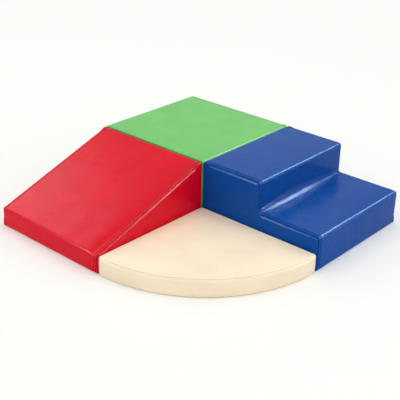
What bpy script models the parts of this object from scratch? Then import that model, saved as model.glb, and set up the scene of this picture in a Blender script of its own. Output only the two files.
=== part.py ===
"""Soft play corner climber: four foam blocks in zipped vinyl covers, joined by hook and loop strips.

Seen from above, the blocks fill the four quarters round the origin:

    platform (-X, +Y)   stairs (+X, +Y)
    ramp     (-X, -Y)   mat    (+X, -Y)

The stairs go down towards +X, the ramp goes down towards -Y, and the mat is a quarter round.
Each block is modelled in a frame of its own, whose X axis points away from its tall back face,
whose Y axis runs across it and whose Z axis points up, and an empty then carries it into place.
Lengths are in metres.
"""

import math

import bmesh
import bpy
from mathutils import Matrix, Vector

# Whole object
SIDE = 0.600
PLATFORM_HEIGHT = 0.290
STEP_HEIGHT = 0.152
UPPER_TREAD = 0.300
TOE_HEIGHT = 0.083
MAT_HEIGHT = 0.081
MODULE_GAP = 0.004

# Covers
VINYL = 0.0012
CLEAR = 0.0003
SEAM_GAP = 0.0005
RIM_LIFT = 0.0003
BASE_FABRIC = VINYL + RIM_LIFT
EDGE_ROLL = 0.011
BASE_ROLL = 0.005
FOLD_RADIUS = 0.011
BASE_FOLD_RADIUS = 0.006
CORNER_RADIUS = 0.011
LEAST_RADIUS = 0.0015
SEAM_DIP = 0.0008
SEAM_LAND = 0.008
TOP_CROWN = 0.003
SIDE_CROWN = 0.002
SWELL_INSET = 0.034

# Cove at the foot of the riser: tight at its two seams, and wider where the cover spans the corner
COVE_NEAR = 0.018
COVE_FAR = 0.010
COVE_BELLY = 0.034
COVE_LEAN = 0.75

# Zip in the base
ZIP_INSET = 0.062
RECESS_HALF = 0.013
RECESS_DEPTH = 0.008
TAPE_THICKNESS = 0.0006
TAPE_OVERLAP = 0.006
COIL_WIDTH = 0.0025
COIL_HEIGHT = 0.0022
COIL_CHAMFER = 0.0006
COIL_GAP = 0.0012
CHANNEL_ROOM = 0.0012
STOP_LENGTH = 0.003
STOP_PLATE = 0.0008
WEB_WIDTH = 0.0007

# Slider and its pull
SLIDER_LENGTH = 0.013
SLIDER_FRONT = 0.0115
SLIDER_REAR = 0.0090
SLIDER_PLATE = 0.0010
SLIDER_ROOM = 0.00035
SLIDER_CORNER = 0.0012
DIAMOND_LENGTH = 0.0030
LUG_THICKNESS = 0.0009
LUG_LENGTH = 0.0030
PIN_RADIUS = 0.0007
PIN_DROP = 0.0020
PIN_ROOM = 0.00025
EYE_RADIUS = 0.0017
PULL_EYE_WIDTH = 0.0034
PULL_WIDTH = 0.0066
PULL_LENGTH = 0.0260
PULL_THICKNESS = 0.0012
PULL_NECK = 0.0060
PULL_MARGIN = 0.0030
PULL_HOLE_RADIUS = 0.0016
PULL_HOLE_INSET = 0.0045

# Hook and loop strips
STRIP_WIDTH = 0.050
STRIP_LENGTH = 0.180
STRIP_HEIGHT = 0.140
STRIP_PLACE_SHARES = (0.25, 0.75)
MAT_STRIP_WIDTH = 0.025
MAT_STRIP_LENGTH = 0.380
MAT_STRIP_PLACE_SHARE = 0.5
STRIP_CORNER = 0.004
STRIP_THICKNESS = (MODULE_GAP - 3 * CLEAR) / 2

# Facets: steps round a bend, and spans along a straight run
FOLD_STEPS = 4
ROLL_STEPS = 3
EDGE_SPANS = 4
WIDTH_SPANS = 4
COVE_WIDTH_SPANS = 8
MAT_ARC_SPANS = 20
STRIP_CORNER_STEPS = 2
ROUND_SIDES = 12

# One overrun serves every cut: the cutter passes its stock by this much
OVERRUN = 0.002
MATCH_SHARE = 0.01

# Colours as they show in daylight, as sRGB shares
RED = (0.86, 0.13, 0.20)
GREEN = (0.49, 0.80, 0.47)
BLUE = (0.13, 0.30, 0.60)
CREAM = (0.97, 0.90, 0.79)
FOAM_WHITE = (0.93, 0.93, 0.90)
BASE_GREY = (0.20, 0.20, 0.21)
BLACK = (0.05, 0.05, 0.05)
STEEL = (0.70, 0.70, 0.70)


def material(name, srgb, roughness, metallic=0.0):
    """A plain Principled material; the colour is given as sRGB shares."""
    made = bpy.data.materials.new(name)
    made.use_nodes = True
    shader = made.node_tree.nodes["Principled BSDF"]
    linear = [share ** 2.2 for share in srgb]
    shader.inputs["Base Color"].default_value = (*linear, 1.0)
    shader.inputs["Roughness"].default_value = roughness
    shader.inputs["Metallic"].default_value = metallic
    return made


def add_object(name, shape, finish, frame, origin=(0, 0, 0)):
    """Makes the object of a bmesh. The shape is given in the frame and its object sits at origin in it."""
    mesh = bpy.data.meshes.new(name)
    shape.transform(Matrix.Translation(-Vector(origin)))
    shape.to_mesh(mesh)
    shape.free()
    mesh.shade_smooth()
    mesh.set_sharp_from_angle(angle=math.radians(35))
    made = bpy.data.objects.new(name, mesh)
    made.data.materials.append(finish)
    made.parent = frame
    made.location = origin
    bpy.context.scene.collection.objects.link(made)
    return made


def add_fabric(name, shape, finish, frame, thickness):
    """Makes an object of an open sheet that faces outwards, thickened inwards."""
    made = add_object(name, shape, finish, frame)
    thicken = made.modifiers.new("thickness", "SOLIDIFY")
    thicken.thickness = thickness
    thicken.offset = -1
    thicken.use_even_offset = True
    return made


def combine(base, tool, operation):
    """Cuts or joins base with tool, and removes tool."""
    step = base.modifiers.new("combine", "BOOLEAN")
    step.operation = operation
    step.object = tool
    bpy.context.view_layer.update()
    graph = bpy.context.evaluated_depsgraph_get()
    result = bpy.data.meshes.new_from_object(base.evaluated_get(graph))
    base.modifiers.clear()
    base.data = result
    bpy.data.objects.remove(tool)


def loft(rings, closed, cap_first=False, cap_last=False):
    """A surface through rings with the same number of points; closed rings meet their own start."""
    shape = bmesh.new()
    rows = [[shape.verts.new(point) for point in ring] for ring in rings]
    count = len(rows[0])
    for row, following in zip(rows, rows[1:]):
        for i in range(count if closed else count - 1):
            j = (i + 1) % count
            shape.faces.new((row[i], row[j], following[j], following[i]))
    if cap_first:
        shape.faces.new(reversed(rows[0]))
    if cap_last:
        shape.faces.new(rows[-1])
    return shape


def prism(outline, low, high, axis):
    """A closed prism between low and high on axis; the outline is in the two axes that follow it."""
    order = {"X": (0, 1, 2), "Y": (1, 2, 0), "Z": (2, 0, 1)}[axis]
    rings = []
    for level in (low, high):
        ring = []
        for first, second in outline:
            point = [0.0, 0.0, 0.0]
            point[order[0]] = level
            point[order[1]] = first
            point[order[2]] = second
            ring.append(point)
        rings.append(ring)
    shape = loft(rings, closed=True, cap_first=True, cap_last=True)
    bmesh.ops.recalc_face_normals(shape, faces=shape.faces)
    return shape


def box(x_span, y_span, z_span):
    """A closed box between three pairs of limits."""
    corners = [
        (y_span[0], z_span[0]),
        (y_span[1], z_span[0]),
        (y_span[1], z_span[1]),
        (y_span[0], z_span[1]),
    ]
    return prism(corners, x_span[0], x_span[1], "X")


def rounded_rectangle(width, height, radius, steps):
    """Outline of a rectangle round the origin, with rounded corners."""
    points = []
    for quarter, (sign_x, sign_y) in enumerate(((1, 1), (-1, 1), (-1, -1), (1, -1))):
        centre = (sign_x * (width / 2 - radius), sign_y * (height / 2 - radius))
        for step in range(steps + 1):
            angle = math.pi / 2 * (quarter + step / steps)
            points.append(
                (centre[0] + radius * math.cos(angle), centre[1] + radius * math.sin(angle))
            )
    return points


def round_outline(centre, radius):
    """Outline of a circle."""
    turns = (2 * math.pi * side / ROUND_SIDES for side in range(ROUND_SIDES))
    return [(centre[0] + radius * math.cos(t), centre[1] + radius * math.sin(t)) for t in turns]


# Profile blocks


def crossing(first, second):
    """The point where two lines, each a point and a direction, cross."""
    between = second[0] - first[0]
    turn = first[1].x * second[1].y - first[1].y * second[1].x
    along = (between.x * second[1].y - between.y * second[1].x) / turn
    return first[0] + first[1] * along


def rounded_corner(before, after, radius, inset):
    """Points and outward normals round one corner of a profile that is walked clockwise."""
    corner = crossing(before, after)
    turn = before[1].x * after[1].y - before[1].y * after[1].x
    angle = before[1].angle(after[1])
    side = 1 if turn < 0 else -1
    bend = max(radius - side * inset, LEAST_RADIUS)
    start = corner - before[1] * bend * math.tan(angle / 2)
    centre = start - before[2] * bend * side
    points = []
    for step in range(FOLD_STEPS + 1):
        normal = before[2].copy()
        normal.rotate(Matrix.Rotation(-side * angle * step / FOLD_STEPS, 2))
        points.append((centre + normal * bend * side, normal, 0.0))
    return points


def cove_radius(y):
    """Radius of the cove at y, across the block."""
    share = (y - EDGE_ROLL) / (SIDE - 2 * EDGE_ROLL)
    share = min(max(share, 0.0), 1.0)
    belly = COVE_BELLY * math.sin(math.pi * share ** COVE_LEAN)
    return COVE_NEAR + (COVE_FAR - COVE_NEAR) * share + belly


def profile_outline(profile, inset, skin, y):
    """The profile at y, drawn in by inset, as (point, outward normal, crown).

    The second result is how many of the points its cover strip takes. The part of the inset
    beyond skin is less on the base, whose edge is rolled less.
    """
    corners = profile["corners"]
    radii = [radius for _, _, radius in corners]
    if profile["cove"]:
        radii[profile["cove"]] = cove_radius(y)
    base_inset = skin + (inset - skin) * (BASE_ROLL - skin) / (EDGE_ROLL - skin)
    edges = []
    for index, (x, z, _) in enumerate(corners):
        ahead = corners[(index + 1) % len(corners)]
        direction = Vector((ahead[0] - x, ahead[1] - z)).normalized()
        outward = Vector((-direction.y, direction.x))
        drawn = base_inset if index == len(corners) - 1 else inset
        edges.append((Vector((x, z)) - outward * drawn, direction, outward))
    bends = [
        rounded_corner(edges[index - 1], edges[index], radii[index], inset)
        for index in range(len(corners))
    ]
    points = []
    strip_count = 0
    for index, bend in enumerate(bends):
        points += bend
        strip_count = len(points)
        start, end = bend[-1][0], bends[(index + 1) % len(bends)][0][0]
        for span in range(1, EDGE_SPANS):
            share = span / EDGE_SPANS
            swell = profile["crowns"][index] * (1 - (2 * share - 1) ** 2)
            points.append((start.lerp(end, share), edges[index][2], swell))
    return points, strip_count


def profile_ring(profile, skin, inset, y, crown_share=0.0, strip_only=False):
    """One ring of a profile block at y; strip_only keeps only the points of the cover strip."""
    points, strip_count = profile_outline(profile, inset, skin, y)
    if strip_only:
        points = points[:strip_count]
    ring = []
    for point, normal, swell in points:
        moved = point + normal * swell * crown_share
        ring.append((moved.x, y, moved.y))
    return ring


def roll_rings(skin, seam_gap):
    """(distance from the side plane, inset) round the rolled edge, from the flat side to the seam."""
    rings = []
    for step in range(ROLL_STEPS + 1):
        angle = math.pi / 2 * step / ROLL_STEPS
        reach = EDGE_ROLL - skin
        dip = SEAM_DIP if step == ROLL_STEPS else 0.0
        rings.append(
            (skin + reach * (1 - math.cos(angle)), skin + reach * (1 - math.sin(angle)) + dip)
        )
    place, inset = rings[-1]
    rings[-1] = (place - seam_gap / 2, inset)
    return rings


def side_rings(profile, skin, side, seam_gap):
    """Rings of the near or far side, from its flat middle out to the seam."""
    crown = profile[f"{side}_crown"]
    levels = [(skin - crown, SWELL_INSET + skin)] if crown else []
    levels += roll_rings(skin, seam_gap)
    rings = []
    for place, inset in levels:
        y = SIDE - place if side == "far" else place
        rings.append(profile_ring(profile, skin, inset, y))
    return rings


def middle_rings(profile, skin, seam_gap, is_strip):
    """Crowned rings across the width; those of the cover strip start and end at the two seams."""
    low = EDGE_ROLL + seam_gap / 2
    high = SIDE - low
    land_low, land_high = EDGE_ROLL + SEAM_LAND, SIDE - EDGE_ROLL - SEAM_LAND
    rings = []
    if is_strip:
        rings.append(profile_ring(profile, skin, skin + SEAM_DIP, low, 0.0, True))
    spans = COVE_WIDTH_SPANS if profile["cove"] else WIDTH_SPANS
    for span in range(spans + 1):
        share = span / spans
        y = land_low + (land_high - land_low) * share
        crown_share = 1 - (2 * share - 1) ** 2
        rings.append(profile_ring(profile, skin, skin, y, crown_share, is_strip))
    if is_strip:
        rings.append(profile_ring(profile, skin, skin + SEAM_DIP, high, 0.0, True))
    return rings


def face_outwards(shape, test_point):
    """Turns the sheet so that it faces away from test_point."""
    bmesh.ops.recalc_face_normals(shape, faces=shape.faces)
    shape.faces.ensure_lookup_table()
    largest = max(shape.faces, key=lambda face: face.calc_area())
    away = largest.calc_center_median() - Vector(test_point)
    if largest.normal.dot(away) < 0:
        bmesh.ops.reverse_faces(shape, faces=shape.faces)


def profile_cover(block, profile, finish, frame):
    """The cover strip that wraps the profile, and the two side panels, sewn along the rolled edges."""
    middle = (SIDE / 2, SIDE / 2, MAT_HEIGHT / 2)
    strip = loft(middle_rings(profile, 0.0, SEAM_GAP, True), closed=False)
    face_outwards(strip, middle)
    add_fabric(f"{block}_wrap_panel", strip, finish, frame, VINYL)
    for side in ("near", "far"):
        panel = loft(side_rings(profile, 0.0, side, SEAM_GAP), closed=True, cap_first=True)
        face_outwards(panel, middle)
        add_fabric(f"{block}_{profile[f'{side}_name']}", panel, finish, frame, VINYL)


def profile_core(block, profile, finish, frame):
    """The foam inside: the cover's shape less its thickness, with a channel for the zip."""
    skin = VINYL + CLEAR
    rings = side_rings(profile, skin, "near", 0.0)
    rings += middle_rings(profile, skin, 0.0, False)
    rings += reversed(side_rings(profile, skin, "far", 0.0))
    shape = loft(rings, closed=True, cap_first=True, cap_last=True)
    bmesh.ops.recalc_face_normals(shape, faces=shape.faces)
    core = add_object(f"{block}_foam_core", shape, finish, frame)
    cut_zip_channel(core, SIDE, frame)


# Quarter-round mat


def quarter_outline(inset):
    """Outline of a quarter disc drawn in by inset, anticlockwise from its inner corner, and the parts of it.

    Returns the points and the counts up to the first tip and up to the end of the second tip.
    """
    bend = max(CORNER_RADIUS - inset, LEAST_RADIUS)
    points = []
    for step in range(FOLD_STEPS + 1):
        angle = math.pi + math.pi / 2 * step / FOLD_STEPS
        centre = inset + bend
        points.append((centre + bend * math.cos(angle), centre + bend * math.sin(angle)))
    disc = SIDE - inset
    low = inset + bend
    tip_x = math.sqrt((disc - bend) ** 2 - low ** 2)
    tip_turn = math.atan2(low, tip_x)
    for span in range(1, EDGE_SPANS):
        share = span / EDGE_SPANS
        points.append((low + (tip_x - low) * share, inset))
    first_tip = len(points)
    for step in range(FOLD_STEPS + 1):
        angle = -math.pi / 2 + (math.pi / 2 + tip_turn) * step / FOLD_STEPS
        points.append((tip_x + bend * math.cos(angle), low + bend * math.sin(angle)))
    for span in range(1, MAT_ARC_SPANS):
        angle = tip_turn + (math.pi / 2 - 2 * tip_turn) * span / MAT_ARC_SPANS
        points.append((disc * math.cos(angle), disc * math.sin(angle)))
    for step in range(FOLD_STEPS + 1):
        angle = math.pi / 2 - tip_turn + (math.pi / 2 + tip_turn) * step / FOLD_STEPS
        points.append((low + bend * math.cos(angle), tip_x + bend * math.sin(angle)))
    second_tip = len(points)
    for span in range(1, EDGE_SPANS):
        share = span / EDGE_SPANS
        points.append((inset, tip_x + (low - tip_x) * share))
    return points, first_tip, second_tip


def mat_levels(skin, seam_gap):
    """(inset, height) up the mat's edge, from the seam underneath to the seam on top."""
    levels = []
    for step in range(ROLL_STEPS + 1):
        angle = math.pi / 2 * step / ROLL_STEPS
        inset = skin + (EDGE_ROLL - skin) * (1 - math.sin(angle))
        lift = RIM_LIFT + skin + (BASE_ROLL - skin) * (1 - math.cos(angle))
        levels.append((inset, lift))
    for step in range(ROLL_STEPS + 1):
        angle = math.pi / 2 * step / ROLL_STEPS
        inset = skin + (EDGE_ROLL - skin) * (1 - math.cos(angle))
        drop = skin + (EDGE_ROLL - skin) * (1 - math.sin(angle))
        dip = SEAM_DIP if step == ROLL_STEPS else 0.0
        levels.append((inset, MAT_HEIGHT - drop - dip))
    if seam_gap:
        top_inset, top_height = levels[-1]
        levels[-1] = (top_inset - seam_gap / 2, top_height)
    return levels


def mat_top_levels(skin, seam_gap):
    """(inset, height) from the top seam in to the middle of the crowned top."""
    seam = EDGE_ROLL + seam_gap / 2
    land = EDGE_ROLL + SEAM_LAND
    deepest = SIDE / (1 + math.sqrt(2)) - FOLD_RADIUS
    levels = [(seam, MAT_HEIGHT - skin - SEAM_DIP)] if seam_gap else []
    for span in range(EDGE_SPANS):
        share = span / EDGE_SPANS
        swell = TOP_CROWN * (1 - (1 - share) ** 2)
        levels.append((land + (deepest - land) * share, MAT_HEIGHT - skin + swell))
    return levels


def trimmed(ring, gap):
    """The ring with both its ends drawn back by gap along it."""
    points = [Vector(point) for point in ring]
    points[0] += (points[1] - points[0]).normalized() * gap
    points[-1] += (points[-2] - points[-1]).normalized() * gap
    return points


def mat_cover(finish, frame):
    """The mat's crowned top panel, the band round its arc and the band along its two straight sides."""
    middle = (SIDE / 3, SIDE / 3, MAT_HEIGHT / 2)
    arc_rings, inner_rings = [], []
    for inset, height in mat_levels(0.0, SEAM_GAP):
        points, first_tip, second_tip = quarter_outline(inset)
        ring = [(x, y, height) for x, y in points]
        arc_rings.append(ring[first_tip:second_tip])
        inner = ring[second_tip - 1 :] + ring[: first_tip + 1]
        inner_rings.append(trimmed(inner, SEAM_GAP))
    arc = loft(arc_rings, closed=False)
    face_outwards(arc, middle)
    add_fabric("mat_arc_band", arc, finish, frame, VINYL)
    inner = loft(inner_rings, closed=False)
    face_outwards(inner, middle)
    add_fabric("mat_inner_band", inner, finish, frame, VINYL)
    top_rings = [
        [(x, y, height) for x, y in quarter_outline(inset)[0]]
        for inset, height in mat_top_levels(0.0, SEAM_GAP)
    ]
    top = loft(top_rings, closed=True, cap_last=True)
    face_outwards(top, middle)
    add_fabric("mat_top_panel", top, finish, frame, VINYL)


def mat_core(finish, frame):
    """The mat's foam, the same shape as its cover but for the cover's thickness."""
    skin = VINYL + CLEAR
    levels = mat_levels(skin, 0.0) + mat_top_levels(skin, 0.0)
    rings = [[(x, y, height) for x, y in quarter_outline(inset)[0]] for inset, height in levels]
    shape = loft(rings, closed=True, cap_first=True, cap_last=True)
    bmesh.ops.recalc_face_normals(shape, faces=shape.faces)
    core = add_object("mat_foam_core", shape, finish, frame)
    cut_zip_channel(core, SIDE, frame)


# Base and zip


TAPE_LEVEL = RECESS_DEPTH + CLEAR
COIL_LEVEL = TAPE_LEVEL + TAPE_THICKNESS / 2
PLATE_GAP = COIL_HEIGHT / 2 + SLIDER_ROOM
PIN_LEVEL = COIL_LEVEL - PLATE_GAP - SLIDER_PLATE - PIN_DROP
TAPE_OUTER = RECESS_HALF + BASE_FABRIC + TAPE_OVERLAP


def cut_zip_channel(core, length, frame):
    """Cuts the channel that the zip and its slider stand up into."""
    top = COIL_LEVEL + PLATE_GAP + SLIDER_PLATE + CHANNEL_ROOM
    half = TAPE_OUTER + CHANNEL_ROOM
    cutter = box(
        (ZIP_INSET - half, ZIP_INSET + half), (-OVERRUN, length + OVERRUN), (-OVERRUN, top)
    )
    tool = add_object(f"{core.name}_channel_cutter", cutter, core.data.materials[0], frame)
    combine(core, tool, "DIFFERENCE")


def base_panel(name, outline, edge, keep_above, finish, frame):
    """Half of the base: a flat sheet whose edge along the zip turns up into the recess."""
    near = OVERRUN * MATCH_SHARE
    shape = bmesh.new()
    shape.faces.new([shape.verts.new((x, y, 0.0)) for x, y in outline])
    bmesh.ops.bisect_plane(
        shape,
        geom=shape.verts[:] + shape.edges[:] + shape.faces[:],
        plane_co=(edge, 0, 0),
        plane_no=(1, 0, 0),
        clear_inner=keep_above,
        clear_outer=not keep_above,
        dist=near,
    )
    along = [e for e in shape.edges if all(abs(v.co.x - edge) < near for v in e.verts)]
    turned = bmesh.ops.extrude_edge_only(shape, edges=along)["geom"]
    lifted = [item for item in turned if isinstance(item, bmesh.types.BMVert)]
    bmesh.ops.translate(shape, verts=lifted, vec=(0, 0, RECESS_DEPTH))
    face_outwards(shape, (SIDE / 2, SIDE / 2, SIDE))
    add_fabric(name, shape, finish, frame, BASE_FABRIC)


def tape(name, side, low, high, finish, frame):
    """One half of the zip: a flat tape with its coil along the inner edge. side is -1 or 1 across the zip."""
    inner = COIL_GAP / 2
    coil = inner + COIL_WIDTH
    half_coil = COIL_HEIGHT / 2
    half_tape = TAPE_THICKNESS / 2
    section = [
        (inner, -half_coil + COIL_CHAMFER),
        (inner + COIL_CHAMFER, -half_coil),
        (coil - COIL_CHAMFER, -half_coil),
        (coil, -half_coil + COIL_CHAMFER),
        (coil, -half_tape),
        (TAPE_OUTER, -half_tape),
        (TAPE_OUTER, half_tape),
        (coil, half_tape),
        (coil, half_coil - COIL_CHAMFER),
        (coil - COIL_CHAMFER, half_coil),
        (inner + COIL_CHAMFER, half_coil),
        (inner, half_coil - COIL_CHAMFER),
    ]
    outline = [(COIL_LEVEL + z, ZIP_INSET + side * x) for x, z in section]
    add_object(name, prism(outline, low, high, "Y"), finish, frame)


def end_stop(name, low, finish, frame):
    """The stop at one end of the zip: two plates over the coils, joined through the gap between them."""
    wide = COIL_GAP / 2 + COIL_WIDTH
    near = COIL_HEIGHT / 2 + SLIDER_ROOM
    outside = near + STOP_PLATE
    web = WEB_WIDTH / 2
    quarter = [(web, near), (wide, near), (wide, outside)]
    section = quarter + [(-x, z) for x, z in reversed(quarter)]
    section += [(-x, -z) for x, z in quarter] + [(x, -z) for x, z in reversed(quarter)]
    outline = [(COIL_LEVEL + z, ZIP_INSET + x) for x, z in section]
    add_object(name, prism(outline, low, low + STOP_LENGTH, "Y"), finish, frame)


def slider(name, home, finish, frame):
    """The slider: two plates round the coils, the diamond between them, and lugs with the pull's pin."""
    half = SLIDER_LENGTH / 2
    front, rear, corner = SLIDER_FRONT / 2, SLIDER_REAR / 2, SLIDER_CORNER
    plan_half = [
        (rear - corner, half),
        (rear, half - corner),
        (rear, 0.0),
        (front, -half + DIAMOND_LENGTH),
        (front, -half + corner),
        (front - corner, -half),
    ]
    plan = plan_half + [(-x, y) for x, y in reversed(plan_half)]
    outline = [(ZIP_INSET + x, home + y) for x, y in plan]
    plate = PLATE_GAP + SLIDER_PLATE
    body_shape = prism(outline, COIL_LEVEL - plate, COIL_LEVEL + plate, "Z")
    body = add_object(name, body_shape, finish, frame)
    long_way = (home - half - OVERRUN, home + half + OVERRUN)
    coil_half = COIL_GAP / 2 + COIL_WIDTH + SLIDER_ROOM
    tape_half = TAPE_THICKNESS / 2 + SLIDER_ROOM
    cuts = {
        "coil_way": (coil_half, PLATE_GAP),
        "tape_way": (SLIDER_FRONT, tape_half),
    }
    for label, (across, up) in cuts.items():
        cutter = box(
            (ZIP_INSET - across, ZIP_INSET + across), long_way, (COIL_LEVEL - up, COIL_LEVEL + up)
        )
        combine(body, add_object(f"{name}_{label}", cutter, finish, frame), "DIFFERENCE")
    overlap = SLIDER_PLATE / 2
    diamond = box(
        (ZIP_INSET - WEB_WIDTH / 2, ZIP_INSET + WEB_WIDTH / 2),
        (home - half + corner, home - half + corner + DIAMOND_LENGTH),
        (COIL_LEVEL - PLATE_GAP - overlap, COIL_LEVEL + PLATE_GAP + overlap),
    )
    combine(body, add_object(f"{name}_diamond", diamond, finish, frame), "UNION")
    lug_inner = PULL_EYE_WIDTH / 2 + PIN_ROOM
    lug_outer = lug_inner + LUG_THICKNESS
    lug_low = PIN_LEVEL - PIN_RADIUS - LUG_THICKNESS / 2
    for side in (-1, 1):
        across = sorted((ZIP_INSET + side * lug_inner, ZIP_INSET + side * lug_outer))
        lug = box(
            across,
            (home - LUG_LENGTH / 2, home + LUG_LENGTH / 2),
            (lug_low, COIL_LEVEL - PLATE_GAP - overlap),
        )
        combine(body, add_object(f"{name}_lug", lug, finish, frame), "UNION")
    reach = lug_inner + LUG_THICKNESS / 2
    pin_outline = round_outline((home, PIN_LEVEL), PIN_RADIUS)
    pin = prism(pin_outline, ZIP_INSET - reach, ZIP_INSET + reach, "X")
    combine(body, add_object(f"{name}_pin", pin, finish, frame), "UNION")
    move_origin(body, (ZIP_INSET, home, COIL_LEVEL))


def move_origin(made, origin):
    """Moves the object's origin in its frame and leaves its shape where it is."""
    made.data.transform(Matrix.Translation(made.location - Vector(origin)))
    made.location = origin


def pull(name, home, finish, frame):
    """The pull: an eye round the slider's pin, and a flat tongue along the zip with a hole near its tip."""
    eye_half = PULL_EYE_WIDTH / 2
    eye_outline = round_outline((home, PIN_LEVEL), EYE_RADIUS)
    eye = prism(eye_outline, ZIP_INSET - eye_half, ZIP_INSET + eye_half, "X")
    body = add_object(name, eye, finish, frame)
    tip, wide, corner = home + PULL_LENGTH, PULL_WIDTH / 2, SLIDER_CORNER
    tongue_half = [
        (eye_half, home + PIN_RADIUS),
        (eye_half, home + PULL_NECK / 2),
        (wide, home + PULL_NECK),
        (wide, tip - corner),
        (wide - corner, tip),
    ]
    plan = tongue_half + [(-x, y) for x, y in reversed(tongue_half)]
    outline = [(ZIP_INSET + x, y) for x, y in plan]
    half = PULL_THICKNESS / 2
    tongue = prism(outline, PIN_LEVEL - half, PIN_LEVEL + half, "Z")
    combine(body, add_object(f"{name}_tongue", tongue, finish, frame), "UNION")
    hole_outline = round_outline((home, PIN_LEVEL), PIN_RADIUS + PIN_ROOM)
    hole = prism(hole_outline, ZIP_INSET - wide, ZIP_INSET + wide, "X")
    combine(body, add_object(f"{name}_eye_cutter", hole, finish, frame), "DIFFERENCE")
    grip_outline = round_outline((ZIP_INSET, tip - PULL_HOLE_INSET), PULL_HOLE_RADIUS)
    grip = prism(grip_outline, PIN_LEVEL - OVERRUN, PIN_LEVEL + OVERRUN, "Z")
    combine(body, add_object(f"{name}_grip_cutter", grip, finish, frame), "DIFFERENCE")
    move_origin(body, (ZIP_INSET, home, PIN_LEVEL))


def base_and_zip(block, outline, zip_low, zip_high, finishes, frame):
    """The base in two panels, with the closed zip between them in a recess.

    The slider runs between a stop near each end, set in so that its pull clears the side seams.
    """
    low_edge, high_edge = ZIP_INSET - RECESS_HALF, ZIP_INSET + RECESS_HALF
    base = finishes["base"]
    base_panel(f"{block}_base_panel", outline, high_edge, True, base, frame)
    base_panel(f"{block}_base_strip", outline, low_edge, False, base, frame)
    tape(f"{block}_zip_tape_left", -1, zip_low, zip_high, finishes["tape"], frame)
    tape(f"{block}_zip_tape_right", 1, zip_low, zip_high, finishes["tape"], frame)
    home = zip_low + PULL_LENGTH + PULL_MARGIN
    opened = zip_high - PULL_LENGTH - PULL_MARGIN
    to_stop = SLIDER_LENGTH / 2 + CLEAR
    metal = finishes["metal"]
    end_stop(f"{block}_zip_closing_stop", home - to_stop - STOP_LENGTH, metal, frame)
    end_stop(f"{block}_zip_opening_stop", opened + to_stop, metal, frame)
    slider(f"{block}_zip_slider", home, finishes["metal"], frame)
    pull(f"{block}_zip_pull", home, finishes["metal"], frame)


# Hook and loop strips


def strip_on(name, face, place, height, size, finish, frame):
    """A strip on a block's back (X = 0), near (Y = 0) or far (Y = SIDE) face; size is (along, up)."""
    outline = rounded_rectangle(size[0], size[1], STRIP_CORNER, STRIP_CORNER_STEPS)
    if face == "back":
        placed = [(place + along, height + up) for along, up in outline]
        shape = prism(placed, -CLEAR - STRIP_THICKNESS, -CLEAR, "X")
    else:
        placed = [(height + up, place + along) for along, up in outline]
        outer = SIDE + CLEAR if face == "far" else -CLEAR - STRIP_THICKNESS
        shape = prism(placed, outer, outer + STRIP_THICKNESS, "Y")
    add_object(name, shape, finish, frame)


def strip_pair(block, face, label, finish, frame):
    """Two upright strips side by side on a tall face."""
    for number, share in enumerate(STRIP_PLACE_SHARES, start=1):
        name = f"{block}_{label}_{number}"
        strip_on(
            name, face, share * SIDE, STRIP_HEIGHT, (STRIP_WIDTH, STRIP_LENGTH), finish, frame
        )


def low_strip(name, face, finish, frame):
    """One level strip at the height of the mat's edge."""
    place = MAT_STRIP_PLACE_SHARE * SIDE
    size = (MAT_STRIP_LENGTH, MAT_STRIP_WIDTH)
    strip_on(name, face, place, MAT_HEIGHT / 2, size, finish, frame)


# The four blocks


def block_frame(name, location, turn):
    """The empty that carries one block from its own frame into place."""
    frame = bpy.data.objects.new(name, None)
    frame.location = location
    frame.rotation_euler = (0, 0, turn)
    bpy.context.scene.collection.objects.link(frame)
    return frame


def profile_block(block, profile, vinyl, finishes, frame):
    """A block whose cover wraps a profile: foam, cover, base and zip."""
    profile_core(block, profile, finishes["foam"], frame)
    profile_cover(block, profile, vinyl, frame)
    x_low = BASE_FOLD_RADIUS + SEAM_GAP
    y_low = EDGE_ROLL + SEAM_GAP
    x_high, y_high = SIDE - x_low, SIDE - y_low
    outline = [(x_low, y_low), (x_high, y_low), (x_high, y_high), (x_low, y_high)]
    base_and_zip(block, outline, y_low, y_high, finishes, frame)


def platform_block(finishes):
    """The square platform. Its back face meets the stairs and its far side meets the ramp."""
    half = MODULE_GAP / 2
    frame = block_frame("platform_frame", (-half, SIDE + half, 0), math.pi)
    profile = {
        "corners": [
            (0, RIM_LIFT, BASE_FOLD_RADIUS),
            (0, PLATFORM_HEIGHT, FOLD_RADIUS),
            (SIDE, PLATFORM_HEIGHT, FOLD_RADIUS),
            (SIDE, RIM_LIFT, BASE_FOLD_RADIUS),
        ],
        "crowns": [0, TOP_CROWN, SIDE_CROWN, 0],
        "cove": None,
        "near_crown": SIDE_CROWN,
        "far_crown": 0,
        "near_name": "back_panel",
        "far_name": "ramp_side_panel",
    }
    profile_block("platform", profile, finishes["green"], finishes, frame)
    strip_pair("platform", "back", "loop_strip_stairs", finishes["green"], frame)
    strip_pair("platform", "far", "loop_strip_ramp", finishes["green"], frame)


def ramp_block(finishes):
    """The ramp, in front of the platform. Its near side is the outer one and its far side meets the mat."""
    half = MODULE_GAP / 2
    frame = block_frame("ramp_frame", (-SIDE - half, -half, 0), -math.pi / 2)
    profile = {
        "corners": [
            (0, RIM_LIFT, BASE_FOLD_RADIUS),
            (0, PLATFORM_HEIGHT, FOLD_RADIUS),
            (SIDE, TOE_HEIGHT, FOLD_RADIUS),
            (SIDE, RIM_LIFT, BASE_FOLD_RADIUS),
        ],
        "crowns": [0, TOP_CROWN, SIDE_CROWN, 0],
        "cove": None,
        "near_crown": SIDE_CROWN,
        "far_crown": 0,
        "near_name": "outer_side_panel",
        "far_name": "mat_side_panel",
    }
    profile_block("ramp", profile, finishes["red"], finishes, frame)
    strip_pair("ramp", "back", "hook_strip_platform", finishes["red"], frame)
    low_strip("ramp_loop_strip_mat", "far", finishes["red"], frame)


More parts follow.
